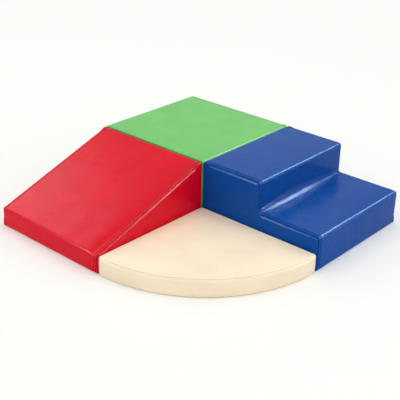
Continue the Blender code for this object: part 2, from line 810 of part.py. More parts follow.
def stairs_block(finishes):
    """The two-step stairs, to the right of the platform, with a soft cove at the foot of the riser."""
    half = MODULE_GAP / 2
    frame = block_frame("stairs_frame", (half, half, 0), 0)
    profile = {
        "corners": [
            (0, RIM_LIFT, BASE_FOLD_RADIUS),
            (0, PLATFORM_HEIGHT, FOLD_RADIUS),
            (UPPER_TREAD, PLATFORM_HEIGHT, FOLD_RADIUS),
            (UPPER_TREAD, STEP_HEIGHT, COVE_NEAR),
            (SIDE, STEP_HEIGHT, FOLD_RADIUS),
            (SIDE, RIM_LIFT, BASE_FOLD_RADIUS),
        ],
        "crowns": [0, TOP_CROWN, 0, TOP_CROWN, SIDE_CROWN, 0],
        "cove": 3,
        "near_crown": 0,
        "far_crown": SIDE_CROWN,
        "near_name": "mat_side_panel",
        "far_name": "outer_side_panel",
    }
    profile_block("stairs", profile, finishes["blue"], finishes, frame)
    strip_pair("stairs", "back", "hook_strip_platform", finishes["blue"], frame)
    low_strip("stairs_loop_strip_mat", "near", finishes["blue"], frame)


def mat_block(finishes):
    """The quarter-round mat. Its back side meets the stairs and its near side meets the ramp."""
    half = MODULE_GAP / 2
    frame = block_frame("mat_frame", (half, -half, 0), -math.pi / 2)
    mat_core(finishes["foam"], frame)
    mat_cover(finishes["cream"], frame)
    drawn_in = EDGE_ROLL + SEAM_GAP
    outline = quarter_outline(drawn_in)[0]
    reach = math.sqrt((SIDE - drawn_in) ** 2 - (ZIP_INSET + TAPE_OUTER) ** 2)
    base_and_zip("mat", outline, drawn_in, reach - CLEAR, finishes, frame)
    low_strip("mat_hook_strip_stairs", "back", finishes["cream"], frame)
    low_strip("mat_hook_strip_ramp", "near", finishes["cream"], frame)


def main():
    for old in list(bpy.data.objects):
        bpy.data.objects.remove(old)
    finishes = {
        "red": material("red_vinyl", RED, 0.38),
        "green": material("green_vinyl", GREEN, 0.42),
        "blue": material("blue_vinyl", BLUE, 0.36),
        "cream": material("cream_vinyl", CREAM, 0.45),
        "foam": material("foam", FOAM_WHITE, 0.9),
        "base": material("grip_fabric", BASE_GREY, 0.85),
        "tape": material("zip_tape", BLACK, 0.8),
        "metal": material("zip_metal", STEEL, 0.3, 1.0),
    }
    platform_block(finishes)
    ramp_block(finishes)
    stairs_block(finishes)
    mat_block(finishes)
    bpy.context.view_layer.update()


main()
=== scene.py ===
"""Soft play corner climber, dressed: four foam blocks in sewn vinyl covers, zips underneath.

Each block is built in a frame of its own: X points away from its tall back face, Y runs across
it and Z points up. Then it is turned into place. Lengths are in metres.
"""

import math

import bmesh
import bpy
import numpy as np
from mathutils import Matrix, Vector
from mathutils.geometry import delaunay_2d_cdt


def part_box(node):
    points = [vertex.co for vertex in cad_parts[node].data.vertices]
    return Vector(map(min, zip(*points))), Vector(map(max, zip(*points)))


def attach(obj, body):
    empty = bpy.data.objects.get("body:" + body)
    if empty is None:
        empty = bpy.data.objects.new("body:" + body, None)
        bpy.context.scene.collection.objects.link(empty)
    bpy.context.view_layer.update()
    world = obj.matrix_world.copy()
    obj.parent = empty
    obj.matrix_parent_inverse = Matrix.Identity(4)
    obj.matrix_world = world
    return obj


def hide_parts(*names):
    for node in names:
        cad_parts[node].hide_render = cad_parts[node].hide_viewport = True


# The blocks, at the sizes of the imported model
SIDE = 0.600
PLATFORM_HEIGHT = 0.290
STEP_HEIGHT = 0.152
UPPER_TREAD = 0.300
TOE_HEIGHT = 0.083
MAT_HEIGHT = 0.081
HALF_GAP = 0.002
VINYL = 0.0012
RIM_LIFT = 0.0003
TOP_CROWN = 0.003
SIDE_CROWN = 0.002
CROWN_POWER = 2.6
FOAM_SKIN = 0.0017
RAMP_FOAM_SLACK = 0.0026
RAMP_SLACK_REACH = 0.06
# Foam next to an edge: distance in from the side, depth below the cover, share of the swell
FOAM_SHOULDER = (
    (0.021, 0.0027, 0.0),
    (0.024, 0.0024, 0.0),
    (0.030, 0.0012, 0.1),
    (0.044, 0.0008, 0.25),
    (0.080, 0.0008, 0.45),
)
MAT_FOAM_SINK = 0.0006
MAT_SHOULDER = ((0.028, 0.0026, 0.1), (0.040, 0.0016, 0.4), (0.064, 0.0012, 0.7))
# A point that is inside every block, in its own frame
INSIDE = (SIDE / 3, SIDE / 3, MAT_HEIGHT / 2)

# Rolled edges along the side panels: SEAM_TURN is how far round the soft one its seam lies
SOFT_ROLL = 0.019
SEAM_TURN = 0.73
EDGE_ROLL = 0.011
TIGHT_ROLL = 0.003
BASE_ROLL = 0.005
MAT_ROLL = 0.007
ROLLS = ((SOFT_ROLL, SEAM_TURN), (EDGE_ROLL, 0.0), (TIGHT_ROLL, 0.0))
MAT_ROLLS = ((SOFT_ROLL, SEAM_TURN), (MAT_ROLL, 0.0))
# How far from the floor and from the back face the rolls change, and over what distance
BASE_REACH = 0.048
BASE_BLEND = 0.036
BACK_REACH = 0.045
BACK_BLEND = 0.030
# How far from the mat's straight sides the soft roll begins, and over what distance
MAT_BLEND_START = 0.004
MAT_BLEND = 0.040

# Folds of the wrap panel; those at the back meet a neighbour
FOLD_RADIUS = 0.015
PLATFORM_BACK_FOLD = 0.012
RAMP_BACK_FOLD = 0.008
STAIRS_BACK_FOLD = 0.009
BASE_FOLD_RADIUS = 0.006
COVE_NEAR = 0.018
COVE_FAR = 0.010
COVE_BELLY = 0.034
COVE_LEAN = 0.75
CORNER_RADIUS = 0.011
LEAST_RADIUS = 0.0015

# Seams: distances from the seam line, and depths
SEAM_GAP = 0.0005
SEAM_DEPTH = 0.0026
SEAM_WIDTH = 0.0015
BEAD_PLACE = 0.0034
BEAD_HEIGHT = 0.0006
BEAD_WIDTH = 0.0021
STITCH_PLACE = 0.0130
STITCH_DEPTH = 0.0019
STITCH_WIDTH = 0.0024
STITCH_PITCH = 0.0070
STITCH_LENGTH = 0.0050
END_MARGIN = 0.0125
MAT_SEWN = 0.30
DRAW_DEPTH = 0.0006
DRAW_REACH = 0.014
GATHER_REACH = 0.019
PINCH_DEPTH = 0.0003
PINCH_WIDTH = 0.0030
# Width of the painted shade in a seam and along its stitch row
SEAM_SHADE_WIDTH = 0.0019
THREAD = 0.00050
# Pitch, length, radius and sides of a stitch
COVER_STITCH = (STITCH_PITCH, STITCH_LENGTH, THREAD, 6)
STRIP_STITCH = (0.0036, 0.0026, THREAD * 0.7, 4)
# Along a stitch: its share of the length, its lift in radii and its thickness
STITCH_STATIONS = (
    (-0.5, -1.1, 0.55),
    (-0.36, -0.1, 0.95),
    (0.0, 0.25, 1.0),
    (0.36, -0.1, 0.95),
    (0.5, -1.1, 0.55),
)
MAT_SEED = 51
# How a side panel sinks into its seam: arc from the seam, depth
SEAM_SINKS = ((SEAM_GAP / 2, SEAM_DEPTH), (0.0005, 0.0012), (0.0010, 0.0005))
ROLLED_REACH = 0.010
# Along the ramp's wrap panel: where its slope begins and ends
SLOPE_START = 0.29
SLOPE_END = 0.91

# Waves of the padding: shortest and longest, and height
WAVES = {
    "gathers": (0.022, 0.060, 0.00042),
    "wrap_broad": (0.11, 0.30, 0.00055),
    "wrap_medium": (0.050, 0.11, 0.00016),
    "cove_ripples": (0.012, 0.026, 0.00020),
    "cove_puckers": (0.030, 0.070, 0.00035),
    "side_broad": (0.10, 0.28, 0.00055),
    "side_drawn": (0.030, 0.080, 0.00030),
    "mat_slack": (0.05, 0.13, 0.00045),
    "mat_broad": (0.10, 0.28, 0.00060),
    "mat_medium": (0.045, 0.10, 0.00018),
}
WAVE_COUNT = 14

# How far from their edges the panels' swell and waves come to full height
SIDE_SWELL_REACH = 0.045
MAT_SWELL_REACH = 0.060
LOOSE_REACH = 0.030
DRAWN_REACH = 0.035
RIM_REACH = 0.004
FOOT_REACH = 0.045
PUCKER_REACH = 0.020
# Rubbed edges: how much, and how far from the seam
ROLLED_WEAR = (0.8, 0.006)
SEWN_WEAR = (0.6, 0.004)

# Mesh steps
LONG_STEP = STITCH_PITCH / 3
BEND_STEP = 0.0018
SEAM_ROWS = (
    0.00025, 0.0006, 0.0010, 0.0015, 0.0021, 0.0028, 0.0036, 0.0045, 0.0056, 0.0070, 0.0086,
    0.0100, 0.0110, 0.0117, 0.0124, 0.0130, 0.0136, 0.0143, 0.0150, 0.0160, 0.0175, 0.0196,
    0.0224, 0.0262, 0.0312, 0.0374, 0.0450, 0.0540,
)
SIDE_FILL = 0.011
MAT_FILL = 0.0105
FOAM_FILL = 0.030
BASE_STEP = 0.012
BASE_FILL = 0.016
STRIP_STEP = 0.003
STRIP_FILL = 0.0028
MID_STEP = 0.014
STAIRS_MID_STEP = 0.0085
ROLL_STEPS = 12
# Rows of a side panel's face beside its rolled edge, in radii of the roll
FACE_SHARES = (0.10, 0.25, 0.45, 0.75, 1.2)
SHARP = math.radians(40.0)

# Zip and strips
ZIP_INSET = 0.062
RECESS_HALF = 0.013
RECESS_DEPTH = 0.008
BASE_FABRIC = 0.0015
BASE_LIP_BULGE = 0.0004
TAPE_OUTER = 0.0205
COIL_LEVEL = 0.0086
CHANNEL_TOP = 0.01225
CHANNEL_SLACK = 0.0012
OVERHANG = 0.002
COIL_PITCH = 0.0015
COIL_SEGMENTS = 8
COIL_WIRE = 0.00034
COIL_PLACE = 0.00185
COIL_HALF_WIDTH = 0.00125
COIL_HALF_HEIGHT = 0.0011
# Section of a tape: distance from the zip's middle, height
TAPE_SECTION = (
    (0.0026, 0.0002),
    (0.0034, 0.0003),
    (0.0115, 0.0003),
    (TAPE_OUTER - 0.0006, 0.0003),
    (TAPE_OUTER, 0.0),
    (TAPE_OUTER - 0.0006, -0.0003),
    (0.0115, -0.0003),
    (0.0034, -0.0003),
    (0.0026, -0.0002),
)
TAPE_ROWS = 120
TAPE_RIPPLE = 0.00012
STRIP_CORNER = 0.004
STRIP_SEWN = 0.0018
# Heights of a strip's flat border, its raised face and its pile, as shares of its thickness
STRIP_BORDER = 0.45
STRIP_FACE = 0.40
STRIP_PILE = 0.14

# Covers: base colour as sRGB shares, roughness, shine, and the two tones of the thread, which
# darken it below the vinyl as painted shade of the stitch holes
VINYLS = {
    "red": ((0.862, 0.018, 0.140), 0.28, 0.11, (0.20, 0.40)),
    "green": ((0.450, 0.776, 0.424), 0.31, 0.12, (0.20, 0.40)),
    "blue": ((0.000, 0.284, 0.616), 0.25, 0.085, (0.20, 0.40)),
    "cream": ((0.986, 0.914, 0.806), 0.33, 0.12, (0.78, 0.97)),
}

# Camera: azimuth, elevation and roll in degrees
CAMERA_ANGLES = (41.19, 26.05, 1.32)
CAMERA_PLACE = (2.183, -2.507, 1.736)
CAMERA_LENS = 77.67

# Lights: place, aim, size, power and colour
SURROUND_LIGHT = 0.82
WHITE, COOL, WARM = (1.0, 1.0, 1.0), (0.72, 0.92, 1.0), (1.0, 0.93, 0.85)
MIDDLE = (0.0, 0.0, 0.1)
SOFTBOXES = {
    "top_softbox": ((0.0, 0.0, 7.0), MIDDLE, (9.0, 9.0), 84.0, WHITE),
    "upper_softbox": ((0.5, 0.0, 6.0), MIDDLE, (4.5, 4.5), 27.0, WHITE),
    "left_softbox": ((-4.5, 0.5, 3.0), MIDDLE, (2.0, 2.0), 7.0, WHITE),
    "back_softbox": ((-2.5, 4.0, 3.5), MIDDLE, (2.0, 2.0), 7.0, WHITE),
    "right_softbox": ((4.5, 1.0, 3.0), MIDDLE, (2.0, 2.0), 9.0, WHITE),
    "front_softbox": ((2.8, -3.6, 3.5), MIDDLE, (2.0, 2.0), 8.0, WARM),
    "back_card": ((1.16, 2.0, 1.78), (0.3, 0.3, 0.2), (0.9, 1.0), 100.0, COOL),
    "high_card": ((1.2, 3.0, 3.0), (0.4, 0.3, 0.2), (1.4, 1.2), 120.0, COOL),
    "right_card": ((2.4, 0.8, 3.2), (0.0, -0.3, 0.2), (1.2, 1.2), 200.0, WHITE),
    "slope_card": ((-3.7, -0.15, 2.9), (-0.4, -0.4, 0.15), (1.6, 1.6), 32.0, WHITE),
    "low_right_card": ((2.3, 1.06, 0.75), (0.0, -0.2, 0.2), (0.8, 0.5), 68.0, WHITE),
    "low_left_card": ((-0.55, -1.32, 0.52), (0.45, 0.0, 0.15), (0.35, 0.35), 15.0, WHITE),
    "front_card": ((3.4, -3.2, 1.9), (0.4, -0.4, 0.1), (1.6, 1.0), 68.0, WHITE),
}

# Each block's profile as (x, z, radius) corners, the swell of each edge after a corner, its two
# sides, its place and turn, its colour and the seeds of its waves. A side is its panel's name,
# its swell, and how close it is to a neighbour, as roll_mix tells it.
BLOCKS = {
    "platform": {
        "corners": (
            (0, RIM_LIFT, BASE_FOLD_RADIUS),
            (0, PLATFORM_HEIGHT, PLATFORM_BACK_FOLD),
            (SIDE, PLATFORM_HEIGHT, FOLD_RADIUS),
            (SIDE, RIM_LIFT, BASE_FOLD_RADIUS),
        ),
        "crowns": (0, TOP_CROWN, SIDE_CROWN, 0),
        "near": ("back_panel", SIDE_CROWN, -1.0),
        "far": ("ramp_side_panel", 0.0, 1.0),
        "place": ((-HALF_GAP, SIDE + HALF_GAP), math.pi),
        "vinyl": "green",
        "seeds": (11, 101),
    },
    "ramp": {
        "corners": (
            (0, RIM_LIFT, BASE_FOLD_RADIUS),
            (0, PLATFORM_HEIGHT, RAMP_BACK_FOLD),
            (SIDE, TOE_HEIGHT, FOLD_RADIUS),
            (SIDE, RIM_LIFT, BASE_FOLD_RADIUS),
        ),
        "crowns": (0, TOP_CROWN, SIDE_CROWN, 0),
        "near": ("outer_side_panel", SIDE_CROWN, -1.0),
        "far": ("mat_side_panel", 0.0, 0.0),
        "place": ((-SIDE - HALF_GAP, -HALF_GAP), -math.pi / 2),
        "vinyl": "red",
        "seeds": (23, 131),
    },
    "stairs": {
        "corners": (
            (0, RIM_LIFT, BASE_FOLD_RADIUS),
            (0, PLATFORM_HEIGHT, STAIRS_BACK_FOLD),
            (UPPER_TREAD, PLATFORM_HEIGHT, FOLD_RADIUS),
            (UPPER_TREAD, STEP_HEIGHT, COVE_NEAR),
            (SIDE, STEP_HEIGHT, FOLD_RADIUS),
            (SIDE, RIM_LIFT, BASE_FOLD_RADIUS),
        ),
        "crowns": (0, TOP_CROWN, 0, TOP_CROWN, SIDE_CROWN, 0),
        "near": ("mat_side_panel", 0.0, 0.0),
        "far": ("outer_side_panel", SIDE_CROWN, -1.0),
        "place": ((HALF_GAP, HALF_GAP), 0.0),
        "vinyl": "blue",
        "seeds": (37, 171),
    },
    "mat": {"place": ((HALF_GAP, -HALF_GAP), -math.pi / 2), "vinyl": "cream"},
}
BODIES = {"platform": "platform", "ramp": "ramp", "stairs": "stairs", "mat": "corner_mat"}


# Materials


def linear(srgb):
    """sRGB shares as linear ones, with an alpha of 1."""
    return (*[(c / 12.92 if c <= 0.04045 else ((c + 0.055) / 1.055) ** 2.4) for c in srgb], 1.0)


def scaled(srgb, share):
    """The colour times share, kept within range."""
    return tuple(min(1.0, c * share) for c in srgb)


class Nodes:
    """A short way to write a material's nodes."""

    def __init__(self, name):
        self.material = bpy.data.materials.new(name)
        self.material.use_nodes = True
        self.tree = self.material.node_tree
        self.shader = self.tree.nodes["Principled BSDF"]
        self.place = self.add("ShaderNodeTexCoord").outputs["Object"]

    def feed(self, node, inputs):
        """Gives a node's inputs their values, or links the sockets they come from."""
        for key, value in inputs.items():
            if isinstance(value, bpy.types.NodeSocket):
                self.tree.links.new(value, node.inputs[key])
            else:
                node.inputs[key].default_value = value

    def add(self, kind, inputs=None, **settings):
        node = self.tree.nodes.new(kind)
        for key, value in settings.items():
            setattr(node, key, value)
        self.feed(node, inputs or {})
        return node

    def noise(self, scale, detail=2.0, rough=0.5, stretch=None):
        place = self.place
        if stretch:
            mapping = self.add("ShaderNodeMapping", {"Vector": place, "Scale": stretch})
            place = mapping.outputs["Vector"]
        inputs = {"Vector": place, "Scale": scale, "Detail": detail, "Roughness": rough}
        return self.add("ShaderNodeTexNoise", inputs).outputs["Fac"]

    def cells(self, scale, feature="SMOOTH_F1"):
        inputs = {"Vector": self.place, "Scale": scale}
        return self.add("ShaderNodeTexVoronoi", inputs, feature=feature).outputs["Distance"]

    def math(self, operation, first, second):
        inputs = {0: first, 1: second}
        return self.add("ShaderNodeMath", inputs, operation=operation).outputs["Value"]

    def spread(self, value, low, high, start=0.0, end=1.0):
        """The value's range from start to end, spread from low to high."""
        ends = {"From Min": start, "From Max": end, "To Min": low, "To Max": high}
        return self.add("ShaderNodeMapRange", {"Value": value, **ends}).outputs["Result"]

    def mix(self, share, first, second):
        """A mix of two colours, each a socket or sRGB shares."""
        first, second = (linear(c) if isinstance(c, tuple) else c for c in (first, second))
        inputs = {0: share, 6: first, 7: second}
        return self.add("ShaderNodeMix", inputs, data_type="RGBA").outputs[2]

    def tones(self, share, colour, low, high):
        """A mix of two tones of a colour."""
        return self.mix(share, scaled(colour, low), scaled(colour, high))

    def layer(self, name):
        """One of the mesh's own layers."""
        return self.add("ShaderNodeAttribute", attribute_name=name).outputs["Fac"]

    def bump(self, height, distance, strength=1.0, normal=None):
        inputs = {"Height": height, "Distance": distance, "Strength": strength}
        if normal:
            inputs["Normal"] = normal
        return self.add("ShaderNodeBump", inputs).outputs["Normal"]

    def finish(self, **values):
        self.feed(self.shader, {key.replace("_", " "): value for key, value in values.items()})
        return self.material


def vinyl(name, colour, roughness, shine):
    """Coated upholstery vinyl: fine pebbles, waves, mottling, rubbed edges, and painted shade
    in the seams.
    """
    n = Nodes(name)
    wear = n.layer("wear")
    patches = n.spread(n.noise(5.0, 3.0), 0.0, 1.0, 0.35, 0.65)
    tone = n.tones(patches, colour, 0.975, 1.02)
    specks = n.spread(n.noise(900.0, 2.0), 0.0, 0.10, 0.45, 0.75)
    tone = n.mix(specks, tone, scaled(colour, 0.86))
    paler = tuple(c + (1 - c) * 0.12 for c in colour)
    scuffs = n.spread(n.noise(70.0, 4.0, 0.6), 0.25, 1.0, 0.40, 0.70)
    tone = n.mix(n.math("MULTIPLY", n.math("MULTIPLY", wear, scuffs), 0.5), tone, paler)
    # Painted shade: the colour darkens towards 30 % of itself in the seam grooves and along the
    # stitch rows.
    tone = n.mix(n.layer("grime"), tone, scaled(colour, 0.30))
    smudges = n.spread(n.noise(13.0, 4.0, 0.6), roughness - 0.035, roughness + 0.055, 0.3, 0.7)
    rough = n.math("ADD", smudges, n.math("MULTIPLY", wear, 0.05))
    waves = n.bump(n.noise(11.0, 1.5), 0.0012)
    creases = n.bump(n.noise(48.0, 3.0, 0.55), 0.00018, 1.0, waves)
    pebbles = n.bump(n.cells(1050.0), 0.00004, 0.5, creases)
    pores = n.bump(n.noise(2600.0, 2.0), 0.00002, 0.4, pebbles)
    return n.finish(Base_Color=tone, Roughness=rough, Normal=pores, Specular_IOR_Level=shine)


def thread(name, colour, low, high):
    """Twisted sewing thread, its tones darkened below the vinyl's as painted shade of the
    stitch holes.
    """
    n = Nodes(name)
    twist = n.noise(1900.0, 2.0, 0.5, (1.0, 1.0, 3.0))
    tone = n.tones(twist, colour, low, high)
    return n.finish(
        Base_Color=tone, Roughness=0.70, Normal=n.bump(twist, 0.00015), Specular_IOR_Level=0.2
    )


def foam():
    """Cut polyurethane foam: fine open cells."""
    n = Nodes("foam_cells")
    cells = n.cells(700.0, "F1")
    patches = n.noise(9.0, 3.0)
    tone = n.mix(patches, (0.90, 0.90, 0.86), (0.95, 0.94, 0.90))
    tone = n.mix(n.spread(cells, 0.0, 0.35, 0.2, 0.7), tone, (0.72, 0.71, 0.66))
    rough = n.spread(patches, 0.90, 0.98)
    return n.finish(Base_Color=tone, Roughness=rough, Normal=n.bump(cells, 0.0005))


def grip():
    """Non-slip base fabric: a grey weave with raised rubber dots."""
    n = Nodes("grip_dots")
    dots = n.add(
        "ShaderNodeTexVoronoi",
        {"Vector": n.place, "Scale": 125.0, "Randomness": 0.0},
        feature="F1",
        voronoi_dimensions="2D",
    ).outputs["Distance"]
    dot = n.spread(dots, 1.0, 0.0, 0.22, 0.27)
    warp = n.noise(500.0, 2.0, 0.5, (1.0, 6.0, 1.0))
    weft = n.noise(500.0, 2.0, 0.5, (6.0, 1.0, 1.0))
    weave = n.math("MAXIMUM", warp, weft)
    cloth = n.mix(weave, (0.13, 0.13, 0.14), (0.30, 0.30, 0.32))
    tone = n.mix(dot, cloth, (0.09, 0.09, 0.10))
    raised = n.bump(dot, 0.0006, 1.0, n.bump(weave, 0.0002))
    rough = n.spread(dot, 0.88, 0.45)
    return n.finish(Base_Color=tone, Roughness=rough, Normal=raised)


def woven(name, colour):
    """Woven tape: a herringbone-like rib in two directions."""
    n = Nodes(name)
    warp = n.noise(700.0, 2.0, 0.5, (1.0, 7.0, 1.0))
    weft = n.noise(700.0, 2.0, 0.5, (7.0, 1.0, 7.0))
    weave = n.math("MAXIMUM", warp, weft)
    tone = n.tones(n.spread(weave, 0.0, 1.0, 0.4, 0.8), colour, 0.55, 1.0)
    rough = n.spread(weave, 0.92, 0.75)
    return n.finish(
        Base_Color=tone, Roughness=rough, Normal=n.bump(weave, 0.00025), Sheen_Weight=0.2
    )


def pile(name, colour, is_hook):
    """The face of a hook or loop strip."""
    n = Nodes(name)
    if is_hook:
        rows = n.noise(850.0, 1.0, 0.5, (1.0, 1.0, 0.45))
        height, depth = n.spread(rows, 0.0, 1.0, 0.45, 0.62), 0.0007
    else:
        height, depth = n.noise(620.0, 5.0, 0.75), 0.0012
    patches = n.noise(25.0, 3.0)
    tone = n.tones(height, colour, 0.62, 1.0)
    tone = n.mix(n.math("MULTIPLY", patches, 0.25), tone, scaled(colour, 1.25))
    rough = n.spread(patches, 0.80, 0.95)
    return n.finish(
        Base_Color=tone, Roughness=rough, Normal=n.bump(height, depth), Sheen_Weight=0.35
    )


def nylon():
    """The zip's coil."""
    n = Nodes("zip_coil")
    patches = n.noise(160.0, 3.0)
    tone = n.mix(patches, (0.035, 0.035, 0.04), (0.075, 0.075, 0.08))
    rough = n.spread(patches, 0.30, 0.42)
    return n.finish(Base_Color=tone, Roughness=rough, Normal=n.bump(patches, 0.0001))


def plated():
    """Nickel-plated zinc, drawn lengthwise and handled."""
    n = Nodes("zip_nickel")
    streaks = n.noise(420.0, 3.0, 0.6, (1.0, 0.08, 1.0))
    prints = n.noise(90.0, 4.0, 0.6)
    tone = n.mix(prints, (0.60, 0.60, 0.59), (0.80, 0.80, 0.79))
    rough = n.math("ADD", n.spread(streaks, 0.16, 0.34), n.spread(prints, 0.0, 0.10))
    return n.finish(
        Base_Color=tone, Roughness=rough, Metallic=1.0, Normal=n.bump(streaks, 0.00005, 0.4)
    )


# Meshes


def placed(block, points):
    """Points of a block's own frame, in the shared frame."""
    (x, y), turn = BLOCKS[block]["place"]
    points = np.asarray(points, dtype=float)
    cos, sin = math.cos(turn), math.sin(turn)
    turned = points.copy()
    turned[..., 0] = x + points[..., 0] * cos - points[..., 1] * sin
    turned[..., 1] = y + points[..., 0] * sin + points[..., 1] * cos
    return turned


def add_object(name, data):
    """An object in the scene."""
    made = bpy.data.objects.new(name, data)
    bpy.context.scene.collection.objects.link(made)
    return made


def add_mesh(name, vertices, faces):
    """A mesh object in the scene, from vertices in the shared frame."""
    mesh = bpy.data.meshes.new(name)
    mesh.from_pydata(np.asarray(vertices).tolist(), [], faces)
    return add_object(name, mesh)


def add_piece(name, block, vertices, faces, finish, slot, **layers):
    """An object that rides on a block's body, from vertices in the shared frame.

    Layers are shares from 0 to 1 for its first vertices; the rest get 0.
    """
    piece = add_mesh(name, vertices, faces)
    mesh = piece.data
    for kind, values in layers.items():
        given = np.clip(np.ravel(values), 0.0, 1.0)
        shares = np.zeros(len(vertices), dtype=np.float32)
        shares[: len(given)] = given
        mesh.attributes.new(kind, "FLOAT", "POINT").data.foreach_set("value", shares)
    mesh.materials.append(finish)
    smooth(mesh)
    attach(piece, BODIES[block])
    return piece


def add_cover(node, block, vertices, faces, finishes, **layers):
    """A panel of a block's padded cover, from an open sheet in the block's own frame."""
    colour = BLOCKS[block]["vinyl"]
    name = node.replace("_panel", "_cover").replace("_band", "_cover")
    vertices, slot = placed(block, vertices), f"{colour}_vinyl"
    piece = add_piece(name, block, vertices, faces, finishes[colour], slot, **layers)
    thicken(piece, block, VINYL)
    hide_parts(node)


def evaluated(piece):
    """Applies the piece's modifiers to its mesh."""
    bpy.context.view_layer.update()
    graph = bpy.context.evaluated_depsgraph_get()
    mesh = bpy.data.meshes.new_from_object(piece.evaluated_get(graph))
    piece.modifiers.clear()
    old = piece.data
    piece.data = mesh
    bpy.data.meshes.remove(old)
    mesh.name = piece.name
    smooth(mesh)


def smooth(mesh):
    """Shades a mesh smooth, but not over its sharp edges."""
    mesh.shade_smooth()
    mesh.set_sharp_from_angle(angle=SHARP)


def face_out(piece, inside=None):
    """Turns a mesh's faces outwards. An open sheet needs a point on its inner side."""
    shape = bmesh.new()
    shape.from_mesh(piece.data)
    bmesh.ops.recalc_face_normals(shape, faces=shape.faces)
    if inside is not None:
        votes = 0.0
        for face in shape.faces:
            away = face.calc_center_median() - Vector(inside)
            votes += face.normal.dot(away.normalized()) * face.calc_area()
        if votes < 0:
            bmesh.ops.reverse_faces(shape, faces=shape.faces)
    shape.to_mesh(piece.data)
    shape.free()


def thicken(piece, block, thickness):
    """Gives an open sheet its thickness, inwards, and keeps it off the floor."""
    face_out(piece, placed(block, [INSIDE])[0])
    shell = piece.modifiers.new("thickness", "SOLIDIFY")
    shell.thickness = thickness
    shell.offset = -1
    shell.use_even_offset = False
    evaluated(piece)
    for vertex in piece.data.vertices:
        vertex.co.z = max(vertex.co.z, 0.0)


def grid_faces(rows, columns, closed=False, start=0):
    """Quads of a grid of points, row by row; closed joins each row's end to its start."""
    faces = []
    for r in range(rows - 1):
        low, high = start + r * columns, start + (r + 1) * columns
        for c in range(columns if closed else columns - 1):
            d = (c + 1) % columns
            faces.append((low + c, low + d, high + d, high + c))
    return faces


def tube_faces(rows, columns, start=0):
    """Faces of a closed tube with its two ends, from rows of points round it."""
    first = [tuple(start + k for k in reversed(range(columns)))]
    last = [tuple(start + (rows - 1) * columns + k for k in range(columns))]
    return grid_faces(rows, columns, True, start) + first + last


def inside_fill(ring, spacing):
    """Triangles that fill a closed outline in the plane: extra points, and faces by index."""
    low, high = ring.min(axis=0), ring.max(axis=0)
    xs = np.arange(low[0] + spacing / 2, high[0], spacing)
    ys = np.arange(low[1] + spacing / 2, high[1], spacing)
    grid = np.array([(x, y) for x in xs for y in ys]).reshape(-1, 2)
    kept = grid[within(ring, grid) & (nearest(ring, grid) > spacing * 0.55)]
    points = [Vector(p) for p in np.vstack([ring, kept])]
    around = list(range(len(ring)))
    ahead = np.roll(ring, -1, axis=0)
    if (ring[:, 0] * ahead[:, 1] - ring[:, 1] * ahead[:, 0]).sum() < 0:
        around.reverse()
    result = delaunay_2d_cdt(points, [], [around], 1, 1e-7, True)
    origins = [(o[0] if len(o) else -1) for o in result[3]]
    inner = [face for face, parents in zip(result[2], result[5]) if parents]
    faces = [tuple(origins[v] for v in face) for face in inner]
    return kept, [f for f in faces if min(f) >= 0 and len(set(f)) == 3]


def within(ring, points):
    """Which points lie inside a closed outline."""
    x, y = points[:, 0], points[:, 1]
    result = np.zeros(len(points), dtype=bool)
    for (x1, y1), (x2, y2) in zip(ring, np.roll(ring, -1, axis=0)):
        if y1 == y2:
            continue
        crosses = (y1 > y) != (y2 > y)
        result ^= crosses & (x < (x2 - x1) * (y - y1) / (y2 - y1) + x1)
    return result


def nearest(ring, points):
    """Distance of each point from a closed outline."""
    best = np.full(len(points), np.inf)
    for a, b in zip(ring, np.roll(ring, -1, axis=0)):
        along = b - a
        length = along @ along
        if length == 0:
            continue
        share = np.clip(((points - a) @ along) / length, 0.0, 1.0)
        gap = points - a - share[:, None] * along
        best = np.minimum(best, np.hypot(gap[:, 0], gap[:, 1]))
    return best


def waves(first, second, kind, seed):
    """A smooth random field over two coordinates, to about the height of its kind."""
    shortest, longest, height = WAVES[kind]
    rng = np.random.default_rng(seed)
    total = 0.0
    for _ in range(WAVE_COUNT):
        number = 2 * math.pi / rng.uniform(shortest, longest)
        turn, phase = rng.uniform(0, 2 * math.pi, 2)
        along = first * math.cos(turn) + second * math.sin(turn)
        total = total + np.sin(number * along + phase)
    return total / math.sqrt(2 * WAVE_COUNT) * height


def bell(value, middle, width):
    """1 at the middle, falling off smoothly to both sides."""
    return np.exp(-(((value - middle) / width) ** 2))


def fading(distance, reach):
    """1 at no distance, dying out over the reach."""
    return np.exp(-distance / reach)


def crown(shares):
    """Swell of a padded panel along an edge: 1 in the middle and 0 at both ends."""
    return 1 - np.abs(2 * shares - 1) ** CROWN_POWER


# Profiles


def crossing(first, second):
    """The point where two lines, each a point and a direction, cross."""
    between = second[0] - first[0]
    turn = first[1].x * second[1].y - first[1].y * second[1].x
    along = (between.x * second[1].y - between.y * second[1].x) / turn
    return first[0] + first[1] * along


def cove_radius(y):
    """Radius of the cove at the foot of the riser: tight at the seams, wide between them."""
    share = np.clip((y - EDGE_ROLL) / (SIDE - 2 * EDGE_ROLL), 0.0, 1.0)
    belly = COVE_BELLY * np.sin(np.pi * share**COVE_LEAN)
    return COVE_NEAR + (COVE_FAR - COVE_NEAR) * share + belly


